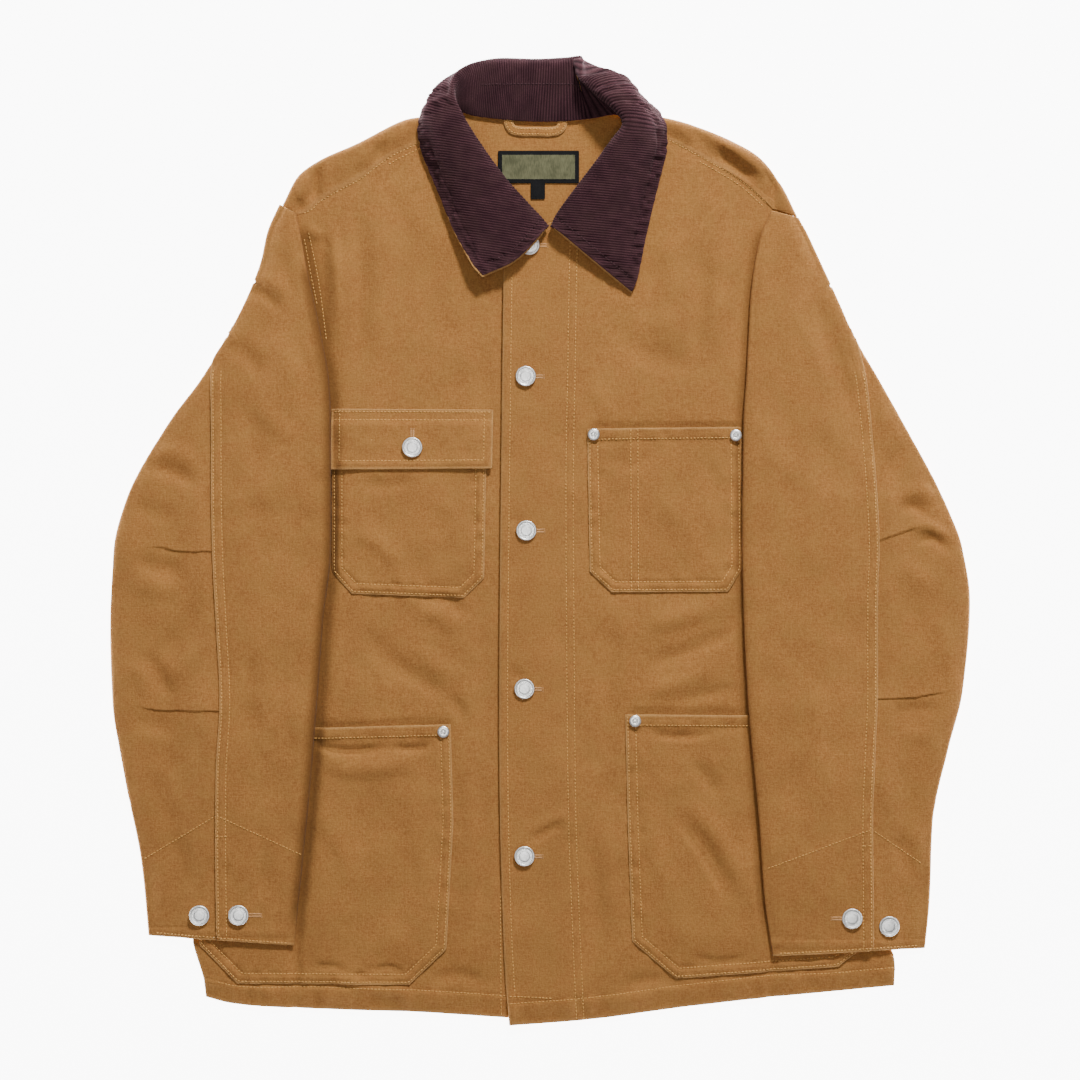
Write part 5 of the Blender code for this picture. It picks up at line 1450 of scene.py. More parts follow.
def inner_panel(side, cut, label):
    """From the visible seam over the chest fold to the seam or armhole beneath."""
    y = sleeve_levels(cut, cut.cap, False)
    start = seam_distance(side, cut, y)
    fold = column(cut.table, "fold", y)
    outer = column(cut.table, "outer", y)
    middle = fold + 0.3 * (outer - fold)
    first = sleeve_points(side, cut, y, "outer",
                          row_run(start, along_top(side, cut, y, "outer", middle)), 0.0)
    end = under_at(side, cut, y, "fold", "sleeve_front", 0.0, 1.0)
    second = sleeve_points(side, cut, y, "fold",
                           row_run(along_top(side, cut, y, "fold", middle, 1.0), end), 1.0)
    rows = np.concatenate([first, second[:, 4:]], axis=1)
    grid = refine(rows, INNER_MARKS, END_MARKS, 66)
    distance = np.stack([reach_of(row) for row in grid])
    normals = sheet_normals(grid)[0]
    on_top = smooth(normals[..., 2] * 2.0 + 0.4)
    x, level = grid[..., 0], grid[..., 1]
    relief = seam_relief(distance, x, level) * smooth((cut.seam_top - level) / 20.0)
    relief = (relief + cuff_relief(cut, x, level)) * on_top
    grid = grid + normals * relief[..., None]
    corner = np.clip(1.0 - distance / CORNER, 0.0, 1.0)
    lift = CORNER * (1.0 - np.sqrt(1.0 - corner ** 2))
    grid[..., 1] += lift * smooth(1.0 - (level - cut.cuff) / 16.0) * on_top
    wear_and_painted_shade = sleeve_wear_and_painted_shade(side, cut, grid)
    return shell("sleeve_%s_inner_panel" % label, grid, CLOTH, [DUCK], wear_and_painted_shade=wear_and_painted_shade)


def outer_panel(side, cut, label):
    """From the visible seam over the silhouette to the seam or armhole beneath."""
    y = sleeve_levels(cut, cut.seam_top, True)
    seam = seam_distance(side, cut, y)
    on_front = smooth((70.0 - y) / 26.0)
    vent = smooth((-211.0 - y) / 17.0)
    under = smooth((SEAM_TOP_END - y) / 24.0)
    start = seam - SEAM - 1.0 * (1.0 - under) + 2.8 * under + 5.0 * vent
    end = under_at(side, cut, y, "outer", "sleeve_back", 0.0, on_front)
    rows = sleeve_points(side, cut, y, "outer", row_run(start, end), on_front)
    grid = refine(rows, OUTER_MARKS, END_MARKS, 50)
    distance = np.stack([reach_of(row) for row in grid])
    normals = sheet_normals(grid)[0]
    on_top = smooth(normals[..., 2] * 2.0 + 0.2)
    x, level = grid[..., 0], grid[..., 1]
    past = distance - (start - seam)
    sink = -(1.3 + 0.5 * vent) * smooth(1.0 - (past - 2.0) / (9.0 + 12.0 * vent)) * under
    relief = sink + pucker(x, level, past - 3.0, 9.0, 7.0, 71, 0.35)
    relief = relief + cuff_relief(cut, x, level) * smooth(past / 6.0)
    for path in cut.tucks:
        off, along = beside(path, x, level)
        uphill = side * off
        strength = (1.0 - smooth((along - 0.7) / 0.3)) * on_top
        lip = np.where(uphill > 0.0, 0.8 * np.exp(-np.maximum(uphill, 0.0) / 7.0),
                       -0.4 * np.exp(np.minimum(uphill, 0.0) / 4.0))
        relief = relief + strength * lip * smooth(along / 0.06)
        pull = np.where(uphill > 0.0, 0.6 * np.exp(-np.maximum(uphill, 0.0) / 3.0), 0.0)
        grid[..., 1] -= strength * pull
    grid = grid + normals * (relief * on_top)[..., None]
    wear_and_painted_shade = sleeve_wear_and_painted_shade(side, cut, grid)
    return shell("sleeve_%s_outer_panel" % label, grid, CLOTH, [DUCK], wear_and_painted_shade=wear_and_painted_shade)


sleeve_right_inner = inner_panel(RIGHT, RIGHT_CUT, "right")
sleeve_right_outer = outer_panel(RIGHT, RIGHT_CUT, "right")
sleeve_left_inner = inner_panel(LEFT, LEFT_CUT, "left")
sleeve_left_outer = outer_panel(LEFT, LEFT_CUT, "left")

# %% [markdown]
# ## Collar
#
# The collar has two pieces: a corduroy top collar and a plain duck under collar, sewn round
# their free edge and turned out. It stands at the neck seam, rolls over and falls to the
# leaves. A section through it is a short curve through six points: seam, top of the stand,
# middle of the roll, top of the fall, belly and edge. The table gives the sections from the
# front edge of one leaf round the neck to the other.
#
# The wales are cut straight into the mesh. Corduroy wales are parallel to the cloth's
# length, so on each leaf they are straight lines, and round the neck they turn with the
# cloth. Each point of the collar gets a phase, which is how far it lies from the start
# measured across the wales, and the mesh's columns are then laid at equal phases, with a ridge
# and a furrow to each wale.

# %% Collar sections
CORDUROY_WALL = 1.4
UNDER_WALL = 1.0
Section = namedtuple("Section", "seam seat rx ry rz ex ey ez turn roll out lift wale bow",
                     defaults=(0.0,))
COLLAR = [Section(*row) for row in [
    (0.000, 8, 7.2, 257.2, 12.8, -46.4, 216.6, 20, 90, 4.5, 3, 1, 171, 5.5),
    (0.030, 6.4, -0.4, 265.6, 13.2, -52.6, 223.4, 20, 90, 4.5, 0, 2, 171, 2),
    (0.100, 4.9, -12.4, 278.6, 14.6, -61, 236.8, 15.5, 90, 4.6, 0, 4, 171),
    (0.160, 4.9, -26.5, 294, 17, -71, 255, 12, 90, 4.6, 0, 5.5, 171),
    (0.215, 4.9, -40.5, 313, 20.5, -81, 280, 9.6, 90, 5, 0, 6.5, 171),
    (0.260, 4.9, -53, 331, 24, -90.5, 302, 8.8, 85, 5, 1, 6.5, 171),
    (0.296, 4.9, -63.5, 349, 27, -97.4, 321, 8.6, 65, 5, 2, 6.5, 171),
    (0.318, 4.9, -70, 361, 27, -99.6, 338.5, 8.6, 35, 5, 3.5, 6.5, 168),
    (0.334, 5, -71.8, 370.6, 24.5, -97, 350, 7.8, 5, 5, 4.5, 6, 165),
    (0.348, 5, -69.6, 379, 19.5, -89, 357.6, 4.6, -25, 4.8, 5.5, 4.5, 150),
    (0.366, 4.8, -62.4, 386.4, 14, -77, 361, 2, -50, 5, 4, 2, 130),
    (0.395, 4.8, -50.5, 392.2, 8.8, -60, 359.8, 0.8, -75, 5.2, 1, 0.4, 110),
    (0.430, 4.8, -37, 394.6, 6.2, -40, 358, 0.6, -90, 5.2, 0, 0.4, 95),
    (0.500, 4.8, -2, 394.2, 6, -2, 357, 0.6, -90, 5.2, 0, 0.4, 90),
    (0.575, 4.8, 21, 395.4, 6.4, 34, 358, 0.6, -90, 5.2, 0, 0.4, 90),
    (0.620, 5.2, 33.8, 395.8, 9.4, 54, 362.4, 0.6, -50, 5.4, 3, 0.5, 75, 2),
    (0.655, 5.6, 34.4, 387.2, 18, 70, 366, 0.8, -20, 5.4, 8, 3, 60, 8),
    (0.680, 5.6, 32.4, 376.6, 23.5, 81, 364, 2.2, 40, 5.4, 11, 4, 45, 5),
    (0.700, 5.2, 45.4, 362, 26, 91, 357, 5, 80, 5.2, 8, 6.5, 20, 2),
    (0.718, 5, 59.4, 349.6, 28.5, 99, 348.6, 7.8, 90, 5, 5, 6.5, 5),
    (0.738, 5, 66.4, 339, 29, 103.4, 336, 8.6, 90, 5, 2, 6.5, -3),
    (0.775, 5, 57.5, 325.6, 27, 103.2, 319, 8.8, 90, 5, 0, 6.5, -5),
    (0.820, 5, 46.6, 311.4, 24, 98.8, 300, 8.8, 90, 5, 0, 6.5, -5),
    (0.875, 5.4, 33.6, 294, 20, 92, 273, 9, 90, 4.8, 0, 5.5, -5),
    (0.930, 6.6, 21, 277.4, 16.4, 85.4, 244, 9.4, 90, 4.6, 0, 4, -5),
    (0.980, 7, 12.4, 264.8, 14.4, 79, 213.6, 10, 90, 4.5, 0, 2, -5),
    (1.000, 7.2, 8.4, 256.6, 13.8, 75, 204, 9, 90, 4.5, 0, 1, -5),
]]
LAST = len(COLLAR) - 1
TABLE = np.array(COLLAR, float)
ROLL, EDGE = slice(2, 5), slice(5, 8)     # the columns rx ry rz and ex ey ez
FALL_PLACE = 16        # a place well down the fall, to see which way the collar looks


def collar_values(t):
    """Rows of the table at places t; the roll and the free edge run on smooth curves."""
    t = np.asarray(t, float)
    values = np.stack([np.interp(t, np.arange(LAST + 1), TABLE[:, k])
                       for k in range(TABLE.shape[1])], axis=1)
    for columns in (ROLL, EDGE):
        values[:, columns] = spline(TABLE[:, columns], t)
    return values


def field(values, name):
    """One named column of the collar's values."""
    place = Section._fields.index(name)
    return values[:, place:place + 1]


def looking_out(sheet, place):
    """Normals of a collar sheet, turned so that the middle of the back looks away from the hem."""
    normals = unit(np.cross(np.gradient(sheet, axis=0), np.gradient(sheet, axis=1)))
    return normals * (-1.0 if normals[len(sheet) // 2, place, 1] < 0.0 else 1.0)


def collar_sheet(t, places):
    """Points of the collar's outer face at sections t and places across them."""
    here = collar_values(t)
    before, after = collar_values(np.maximum(t - 0.2, 0.0)), collar_values(np.minimum(t + 0.2, LAST))
    along = unit((after[:, ROLL] - before[:, ROLL])[:, :2])
    outward = np.stack([-along[:, 1], along[:, 0], np.zeros(len(t))], axis=1)
    up = np.array([0.0, 0.0, 1.0])
    turn = np.radians(field(here, "turn"))
    ahead = outward * np.cos(turn) + up * np.sin(turn)
    inside = outward * np.sin(turn) - up * np.cos(turn)
    seam = walk(NECK_SEAM, np.clip(field(here, "seam")[:, 0], 0.0, 1.0))
    seam = np.hstack([seam, field(here, "seat")])
    roll, edge, radius = here[:, ROLL], here[:, EDGE], field(here, "roll")
    stand_top = roll + (inside - ahead) * radius
    fall_top = roll + (inside + ahead) * radius
    belly = mix(fall_top, edge, 0.5) + outward * field(here, "out") + up * field(here, "lift")
    belly[:, :2] -= along * field(here, "bow")
    knots = np.stack([seam, stand_top, roll, fall_top, belly, edge], axis=1)
    return np.array([spline(row, places) for row in knots])


COLLAR_PLACES = np.concatenate([np.linspace(0.0, 1.0, 7)[:-1], np.linspace(1.0, 3.0, 15)[:-1],
                                np.linspace(3.0, 4.5, 11)[:-1], np.linspace(4.5, 5.0, 15)])
TWISTED = (12.2, 18.8)     # sections between which the fold turns over
DENSE = np.linspace(0.0, LAST, 1041)
dense_sheet = collar_sheet(DENSE, COLLAR_PLACES)
print("collar sections:", dense_sheet.shape)

# %% [markdown]
# The phase runs along the roll and along the free edge by how far each step goes across the
# wales, and is shared out between them over the fall.

# %% Wales
WALE = 2.0             # from wale to wale in mm
WALE_DEPTH = 0.5
WALE_SHAPE = ((0.0, 1.0), (0.28, 0.7), (0.5, 0.0), (0.72, 0.7))
LEAF_STITCH = 7.4      # the brown row, inside the leaf's edge


def phases():
    """Distance across the wales at each dense section and place."""
    values = collar_values(DENSE)
    azimuth = np.radians(field(values, "wale")[:, 0])
    across = np.stack([np.sin(azimuth), -np.cos(azimuth)], axis=1)
    middle = (across[1:] + across[:-1]) / 2.0

    def run(points):
        steps = (np.diff(points, axis=0) * middle).sum(axis=1)
        return np.concatenate([[0.0], np.cumsum(steps)])

    roll, edge = values[:, ROLL][:, :2], values[:, EDGE][:, :2]
    on_roll, on_edge = run(roll), run(edge)
    forward = on_edge + ((edge[0] - roll[0]) * across[0]).sum()
    backward = on_edge - on_edge[-1] + on_roll[-1] + ((edge[-1] - roll[-1]) * across[-1]).sum()
    on_edge = mix(forward, backward, smooth((DENSE - 11.0) / 4.0))
    plan = dense_sheet[..., :2]
    fall = np.linalg.norm(plan - roll[:, None], axis=2) / np.linalg.norm(
        edge - roll, axis=1)[:, None]
    share = np.where(COLLAR_PLACES[None, :] > 2.0, np.clip(fall, 0.0, 1.0), 0.0)
    aside = plan - mix(roll[:, None], edge[:, None], share[..., None])
    on_leaf = smooth((7.0 - DENSE) / 3.0) + smooth((DENSE - 20.0) / 3.0)
    aside = (aside * across[:, None]).sum(axis=2) * on_leaf[:, None] * (share > 0.0)
    return mix(on_roll[:, None], on_edge[:, None], share) + aside


def leaf_distance(x, y):
    """Distance in plan from the free edge of the collar and its two front edges."""
    line = np.vstack([dense_sheet[0, 8:, :2], dense_sheet[:, -1, :2], dense_sheet[-1, :7:-1, :2]])
    return np.abs(beside(line[::6], x, y)[0])


def twist(t):
    """1 where the fold turns over, 0 elsewhere."""
    return smooth((t - TWISTED[0]) / 1.2) * smooth((TWISTED[1] - t) / 1.2)


def upper_collar():
    phase = phases()
    phase = np.maximum.accumulate(phase, axis=0) + DENSE[:, None] * 1e-6
    low, high = phase.min(), phase.max()
    starts = np.arange(math.floor(low / WALE), math.ceil(high / WALE) + 1)
    columns = np.array([(n + part) * WALE for n in starts for part, _ in WALE_SHAPE])
    nap = np.array([height for _ in starts for _, height in WALE_SHAPE])
    normals = looking_out(dense_sheet, FALL_PLACE)
    grid = np.zeros((len(columns), len(COLLAR_PLACES), 3))
    turned = np.zeros(grid.shape)
    same = np.zeros(grid.shape[:2], int)
    places_along = np.zeros(grid.shape[:2])
    for k in range(len(COLLAR_PLACES)):
        t = np.interp(columns, phase[:, k], DENSE)
        places_along[:, k] = t
        for axis in range(3):
            grid[:, k, axis] = np.interp(t, DENSE, dense_sheet[:, k, axis])
            turned[:, k, axis] = np.interp(t, DENSE, normals[:, k, axis])
        first = np.searchsorted(t, 1e-5)
        last = np.searchsorted(t, LAST - 1e-5) - 1
        rows = np.clip(np.arange(len(columns)), max(first - 1, 0), min(last + 1, len(columns) - 1))
        same[:, k] = rows * len(COLLAR_PLACES) + k
    turned = unit(turned)
    x, y = grid[..., 0], grid[..., 1]
    edge = leaf_distance(x, y)
    fall = smooth((COLLAR_PLACES[None, :] - 2.2) / 0.5)
    flat = smooth(edge / 1.6)
    deep = WALE_DEPTH * (1.0 - nap[:, None]) * flat
    sewn = groove(edge - LEAF_STITCH, 1.5, 0.8) + 0.45 * smooth(1.0 - edge / LEAF_STITCH)
    sewn = sewn + pucker(x, y, edge - 0.6 * LEAF_STITCH, 9.0, 3.6, 81, 1.5)
    smoothed = 1.0 - twist(places_along)
    relief = sewn * fall - deep + washed(x, y, 15, 0.5) * smooth(edge / 8.0) * smoothed
    grid = grid + turned * relief[..., None]
    # Lighter on the crests and darker in the furrows: partly rubbed pile, partly painted shade; the
    # leaves' edges are rubbed paler.
    rubbed = nap[:, None] ** 1.6 * (0.8 + 0.25 * noise(x, y, 6.0, 17)) + 0.2 * (1.0 - flat)
    return shell("collar_corduroy", grid, CORDUROY_WALL, [CORDUROY], turned, 1.0, same=same,
                 wear_and_painted_shade=np.clip(rubbed, 0.0, 1.0))


collar_upper = upper_collar()

# %% Under collar
UNDER_EASE = 0.9       # room between the two layers
UNDER_PEEP = 1.7       # how far the duck edge shows past the corduroy
UNDER_CURL = 2.6       # and how far it turns up beside it


def under_collar():
    """The duck layer beneath, a little larger so that its edge peeps out."""
    t = np.linspace(0.0, LAST, 221)
    sheet = collar_sheet(t, COLLAR_PLACES[::2])
    normals = looking_out(sheet, FALL_PLACE // 2)
    offset = CORDUROY_WALL + UNDER_EASE - 1.3 * twist(t)
    sheet = sheet - normals * offset[:, None, None]
    out = unit(sheet[:, -1] - sheet[:, -2])
    worn_side = smooth((LAST / 2.0 - t) / 4.0)[:, None]
    sheet[:, -1] += out * UNDER_PEEP * mix(0.4, 1.0, worn_side)
    sheet[:, -1, 2:] += UNDER_CURL * worn_side
    falls = smooth(COLLAR_PLACES[::2, None] - 2.4)
    for end, beside_end in ((0, 1), (-1, -2)):
        sheet[end] += unit(sheet[end] - sheet[beside_end]) * UNDER_PEEP * falls
    return shell("collar_duck", sheet, UNDER_WALL, [DUCK], normals, 1.0)


collar_under = under_collar()

# %% [markdown]
# ## Pockets and flap
#
# Patch pockets are flat pieces with turned edges and clipped lower corners, sewn on with two
# rows. A washed pocket bellies out a little between its seams, its mouth is a hem two layers
# thick, and the edges are the paler for rubbing. The flap closes over the one chest pocket
# and springs up along its lower edge, which throws a dark line under it.

# %% Pocket creases
POCKET_LIE = 0.4             # between a pocket and the front beneath
POCKET_ROWS = (1.6, 8.0)     # rows of sewing inside the edge
POCKET_HEM = 8.3
POCKET_BELLY = 0.75          # how far a washed pocket bellies out between its seams
SIDE_RIPPLE, MOUTH_RIPPLE = 0.95, 0.9
FLAP_ROW = 6.6               # the flap's second row of sewing, from its edge
FLAP_TOP, FLAP_FOOT = 106.6, 58.4
FLAP_SPRING = 1.3            # how far the flap's lower edge springs up

POCKET_CREASES = [Crease(*row) for row in [
    # x0, y0, x1, y1, x2, y2, width, depth, lean
    # wearer's right chest pocket, below the flap
    (-150, 48, -128, 44, -96, 50, 6, -1.4, 0),
    (-158, 12, -132, -4, -112, -28, 8, 1.8, 0.2),
    (-86, 30, -76, 0, -84, -28, 9, -1.5, 0),
    # wearer's left chest pocket
    (52, 70, 74, 62, 104, 74, 8, -1.4, 0.2),
    (96, 40, 120, 8, 128, -26, 10, 1.6, 0),
    (130, 76, 142, 46, 150, 10, 7, -1.4, 0),
    # wearer's right hip pocket: the mouth sags
    (-196, -166, -158, -174, -116, -169, 3.6, -3, 0.3),
    (-126, -170, -104, -172, -84, -168, 3.4, -2.6, 0.3),
    (-184, -182, -146, -187, -92, -180, 8, 2.6, 0),
    (-184, -214, -160, -256, -150, -300, 10, 1.8, 0.2),
    (-120, -206, -112, -258, -124, -318, 11, -1.6, 0),
    (-98, -240, -92, -280, -102, -328, 8, 1.4, 0),
    (-142, -353, -122, -350.5, -108, -357, 3, -2, 0),
    (-200, -352, -176, -349, -152, -354, 3.4, -1.8, 0),
    # wearer's left hip pocket: diagonals
    (104, -218, 134, -256, 160, -306, 7, -2.6, 0.3),
    (124, -180, 136, -196, 148, -214, 7, -1.9, 0.2),
    (118, -206, 148, -246, 176, -296, 8, 2.4, 0),
    (86, -196, 92, -244, 108, -296, 8, 1.7, 0),
    (160, -176, 172, -220, 176, -262, 8, -1.6, 0),
    (84, -157, 110, -162, 150, -158, 3.6, -2.2, 0.3),
    (120, -340, 146, -346, 176, -341, 4, -1.8, 0),
]]


def lined_plan(lines, across, down):
    """Plan points of a flat piece between the two ends of its lines."""
    lines = np.array(lines, float)
    drop = -(lines[:, 1] + lines[:, 3]) / 2.0
    at = mix(drop[0], drop[-1], evenly(down))
    rows = np.stack([np.interp(at, drop, lines[:, k]) for k in range(4)], axis=1)
    t = evenly(across)[None, :, None]
    return mix(rows[:, None, :2], rows[:, None, 2:], t)


def pocket_relief(lines, x, y, seed, calm=0.0):
    """Sewn edges, a hemmed mouth and a belly between them."""
    edge = np.abs(beside(outline_of(lines), x, y)[0])
    mouth = -beside([(lines[0].x0, lines[0].y0), (lines[0].x1, lines[0].y1)], x, y)[0]
    inside = smooth(edge / 5.0)
    belly = POCKET_BELLY * smooth((edge - 8.0) / 26.0) * (1.0 - calm)
    hem = 1.0 * smooth((POCKET_HEM + 1.6 - mouth) / 1.8) * inside
    sewn = groove(edge - POCKET_ROWS[0], 1.1, 0.45) + groove(edge - POCKET_ROWS[1], 2.0, 0.9)
    sewn = sewn + groove(mouth - POCKET_HEM, 1.3, 0.5) * inside
    band = 0.5 * hump(edge - 4.8, 4.0)
    ripple = pucker(x, y, edge - 6.0, 12.0, 7.0, seed, SIDE_RIPPLE)
    ripple = ripple + pucker(x, y, mouth - 7.0, 12.0, 9.0, seed + 1, MOUTH_RIPPLE) * inside
    folds = creases(POCKET_CREASES, x, y) * smooth((edge - 3.0) / 10.0) * (1.0 - calm)
    return belly + hem + sewn + band + ripple + folds - 0.35 * smooth(1.0 - edge / 1.0)


def patch_top(x, y):
    return front_top(x, y) + POCKET_LIE + CLOTH


def pocket(name, lines, across, down, seed):
    def height(x, y):
        calm = smooth((np.abs(x) - 176.0) / 12.0) * smooth((-80.0 - y) / 20.0)
        return patch_top(x, y) + 0.1 + pocket_relief(lines, x, y, seed, calm)
    plan = lined_plan(lines, across, down)
    x, y = plan[..., 0], plan[..., 1]
    # Painted shade, as on the fronts, where a pocket lies beside a sleeve's folded edge.
    painted_shade = np.maximum(painted_shade_beside(RIGHT, x, y), painted_shade_beside(LEFT, x, y))
    return shell(name, raised(plan, height), CLOTH, [DUCK], wear_and_painted_shade=mix(wear_of(plan), -1.0, painted_shade))


def flap_top(x, y):
    climb = smooth((101.0 - y) / 8.0)
    return patch_top(x, y) + (CLOTH_CUT + SEAM + 0.5) * climb


def flap_height(x, y):
    edge = np.abs(beside(outline_of(CHEST_FLAP), x, y)[0])
    top, low = FLAP_TOP - y, y - FLAP_FOOT
    sewn = groove(edge - POCKET_ROWS[0], 1.1, 0.28) + groove(edge - FLAP_ROW, 1.3, 0.3)
    sewn = sewn + groove(top - 1.8, 1.1, 0.3) + groove(top - 8.0, 1.2, 0.3)
    band = 0.3 * hump(edge - 4.2, 4.0)
    spring = FLAP_SPRING * smooth(1.0 - low / 16.0) * (0.8 + 0.5 * noise(x, y * 0.2, 38.0, 95))
    ripple = pucker(x, y, edge - 5.0, 9.0, 9.0, 91, 0.4)
    return flap_top(x, y) + sewn + band + spring + ripple + 0.5 * smooth((edge - 8.0) / 12.0)


POCKETS = [
    ("chest_pocket_right_panel", CHEST_POCKET_RIGHT), ("chest_pocket_left_panel", CHEST_POCKET_LEFT),
    ("hip_pocket_right_panel", HIP_POCKET_RIGHT), ("hip_pocket_left_panel", HIP_POCKET_LEFT),
]
POCKET_MESH = [(78, 82, 83), (78, 82, 85), (108, 108, 87), (108, 108, 89)]   # steps, noise seed
pocket_chest_right, pocket_chest_left, pocket_hip_right, pocket_hip_left = [
    pocket(name, lines, *steps) for (name, lines), steps in zip(POCKETS, POCKET_MESH)]
flap = shell("chest_flap_panel", raised(lined_plan(CHEST_FLAP, 100, 44), flap_height), CLOTH, [DUCK])

# %% [markdown]
# ## Hanger loop, neck label and size tab
#
# Inside the back neck a strip of duck, folded and sewn along both edges, makes the hanger
# loop. Below it a woven label is sewn on, olive with a black border, and a small black size
# tab hangs under it. Both are left bare of words.

# %% Loop and labels
LOOP_OUTER = [(-29.6, 343.6), (-28.2, 338.4), (-24.5, 333.6), (-17.0, 331.4),
              (-4, 331.2), (9, 331), (17, 333), (20.8, 337.4), (22, 342.6)]
LOOP_WIDTH = 7.0
LOOP_ROW = 1.5         # the loop's two rows of sewing, from its edges
LABEL = Line(-34.0, 318.6, 31.6, 292.8)
SIZE_TAB = Line(-7.2, 292.5, 3.7, 279.6)
LABEL_BORDER = 3.0
INSIDE_BACK = CLOTH_CUT + SEAM


def hanger_loop():
    outer = walk(LOOP_OUTER, evenly(96))
    along = unit(np.gradient(outer, axis=0))
    inward = np.stack([-along[:, 1], along[:, 0]], axis=1)
    share = evenly(12)[None, :, None]
    plan = outer[:, None] + inward[:, None] * LOOP_WIDTH * share
    edge = np.minimum(share, 1.0 - share)[..., 0] * LOOP_WIDTH
    x, y = plan[..., 0], plan[..., 1]
    z = INSIDE_BACK + 1.8 - 0.5 * smooth(1.0 - edge / 1.2) + groove(edge - LOOP_ROW, 0.9, 0.25)
    z = z + pucker(x, y, edge - LOOP_ROW, 4.0, 3.5, 97, 0.2)
    return shell("hanger_loop_strip", np.dstack([plan, z]), 1.5, [DUCK])


def tag(name, box, across, down, materials, pick=None):
    x, y = np.meshgrid(mix(box.x0, box.x1, evenly(across)), mix(box.y0, box.y1, evenly(down)))
    edge = np.minimum(np.minimum(x - box.x0, box.x1 - x), np.minimum(box.y0 - y, y - box.y1))
    z = INSIDE_BACK + 0.85 + groove(edge - 1.0, 0.8, 0.18) + 0.16 * noise(x, y, 9.0, 99)
    return shell(name, np.dstack([x, y, z]), 0.7, materials, pick=pick)


def border_or_field(point):
    inside = min(point[0] - LABEL.x0, LABEL.x1 - point[0], LABEL.y0 - point[1], point[1] - LABEL.y1)
    return 0 if inside < LABEL_BORDER else 1


loop = hanger_loop()
label = tag("neck_label_cloth", LABEL, 66, 26, [BLACK, OLIVE], border_or_field)
size_tab = tag("size_tab_cloth", SIZE_TAB, 14, 16, [BLACK])

# %% [markdown]
# ## Buttons and rivets
#
# The buttons are the two-part metal kind that is hammered through the cloth: a shank below,
# and above it a cap with a rolled rim, a sunk ring and a nearly flat middle. A turned profile
# gives the whole cap; the ring is stippled with small beads, as the die leaves it. The pocket
# rivets are smaller washers with a sunk ring round the rivet's own end.

# %% Metal pieces
BUTTON_PROFILE = [(0.0, 2.62), (1.6, 2.61), (3.2, 2.57), (4.1, 2.5), (4.5, 2.38), (4.9, 2.34),
                  (6.3, 2.34), (6.6, 2.39), (6.9, 2.52), (7.4, 2.66), (7.9, 2.6), (8.3, 2.2),
                  (8.35, 1.8), (8.1, 1.4), (7.4, 1.1), (4.2, 0.9), (4, 0.8), (4, 0.35),
                  (4, 0.3), (0, 0.3)]
BUTTON_SIDES = 44
BEADS = 26
BEAD_RING = 5.6
BEAD_SIDES = 6
BEAD = ((0.42, 2.0), (0.42, 2.25), (0.26, 2.42))   # radius and height of a bead's three rings
BEAD_TOP, BEAD_FOOT = 2.5, 2.0
RIVET_PROFILE = [(0.0, 1.2), (0.9, 1.15), (1.1, 0.5), (1.5, 0.45), (2.1, 1.5), (3.0, 1.5),
                 (4.2, 1.3), (4.8, 0.9), (4.95, 0.5), (4.8, 0.3), (0, 0.3)]
RIVET_SIDES = 32
RIVET_SINK = 0.15      # how far a clinched rivet bites into the cloth
SHANK = 4.0            # radius over which a button or rivet presses on the cloth
FRONT_BUTTONS = [(-8.6, 241.5), (-11.7, 134.1), (-11.2, 7.8), (-12.7, -121.8), (-12.7, -258.7)]
FLAP_BUTTON = (-104.5, 75.8)
CUFF_BUTTONS = {"right_inner": (-246.4, -306.7), "right_outer": (-278.6, -307.1),
                "left_inner": (255.2, -309.5), "left_outer": (285.8, -316.1)}
RIVETS = {"chest_left_inner": (43.9, 86.3), "chest_left_outer": (160.3, 85.7),
          "hip_right": (-79.1, -157.0), "hip_left": (77.9, -148.2)}


def ground(names, x, y):
    """Height and slope of the topmost of some pieces below a point."""
    best, normal = -1.0, Vector((0.0, 0.0, 1.0))
    for name in names:
        hit, way, _, _ = OUTER[name].ray_cast(Vector((x, y, 90.0)), Vector((0.0, 0.0, -1.0)))
        if hit is not None and hit.z > best:
            best, normal = hit.z, way if way.z > 0.0 else -way
    return best, normal


def seat(names, x, y):
    """The highest ground under a round piece."""
    return max([ground(names, x + SHANK * math.cos(a), y + SHANK * math.sin(a))[0]
                for a in np.linspace(0.0, 2.0 * math.pi, 12, endpoint=False)]
               + [ground(names, x, y)[0]])


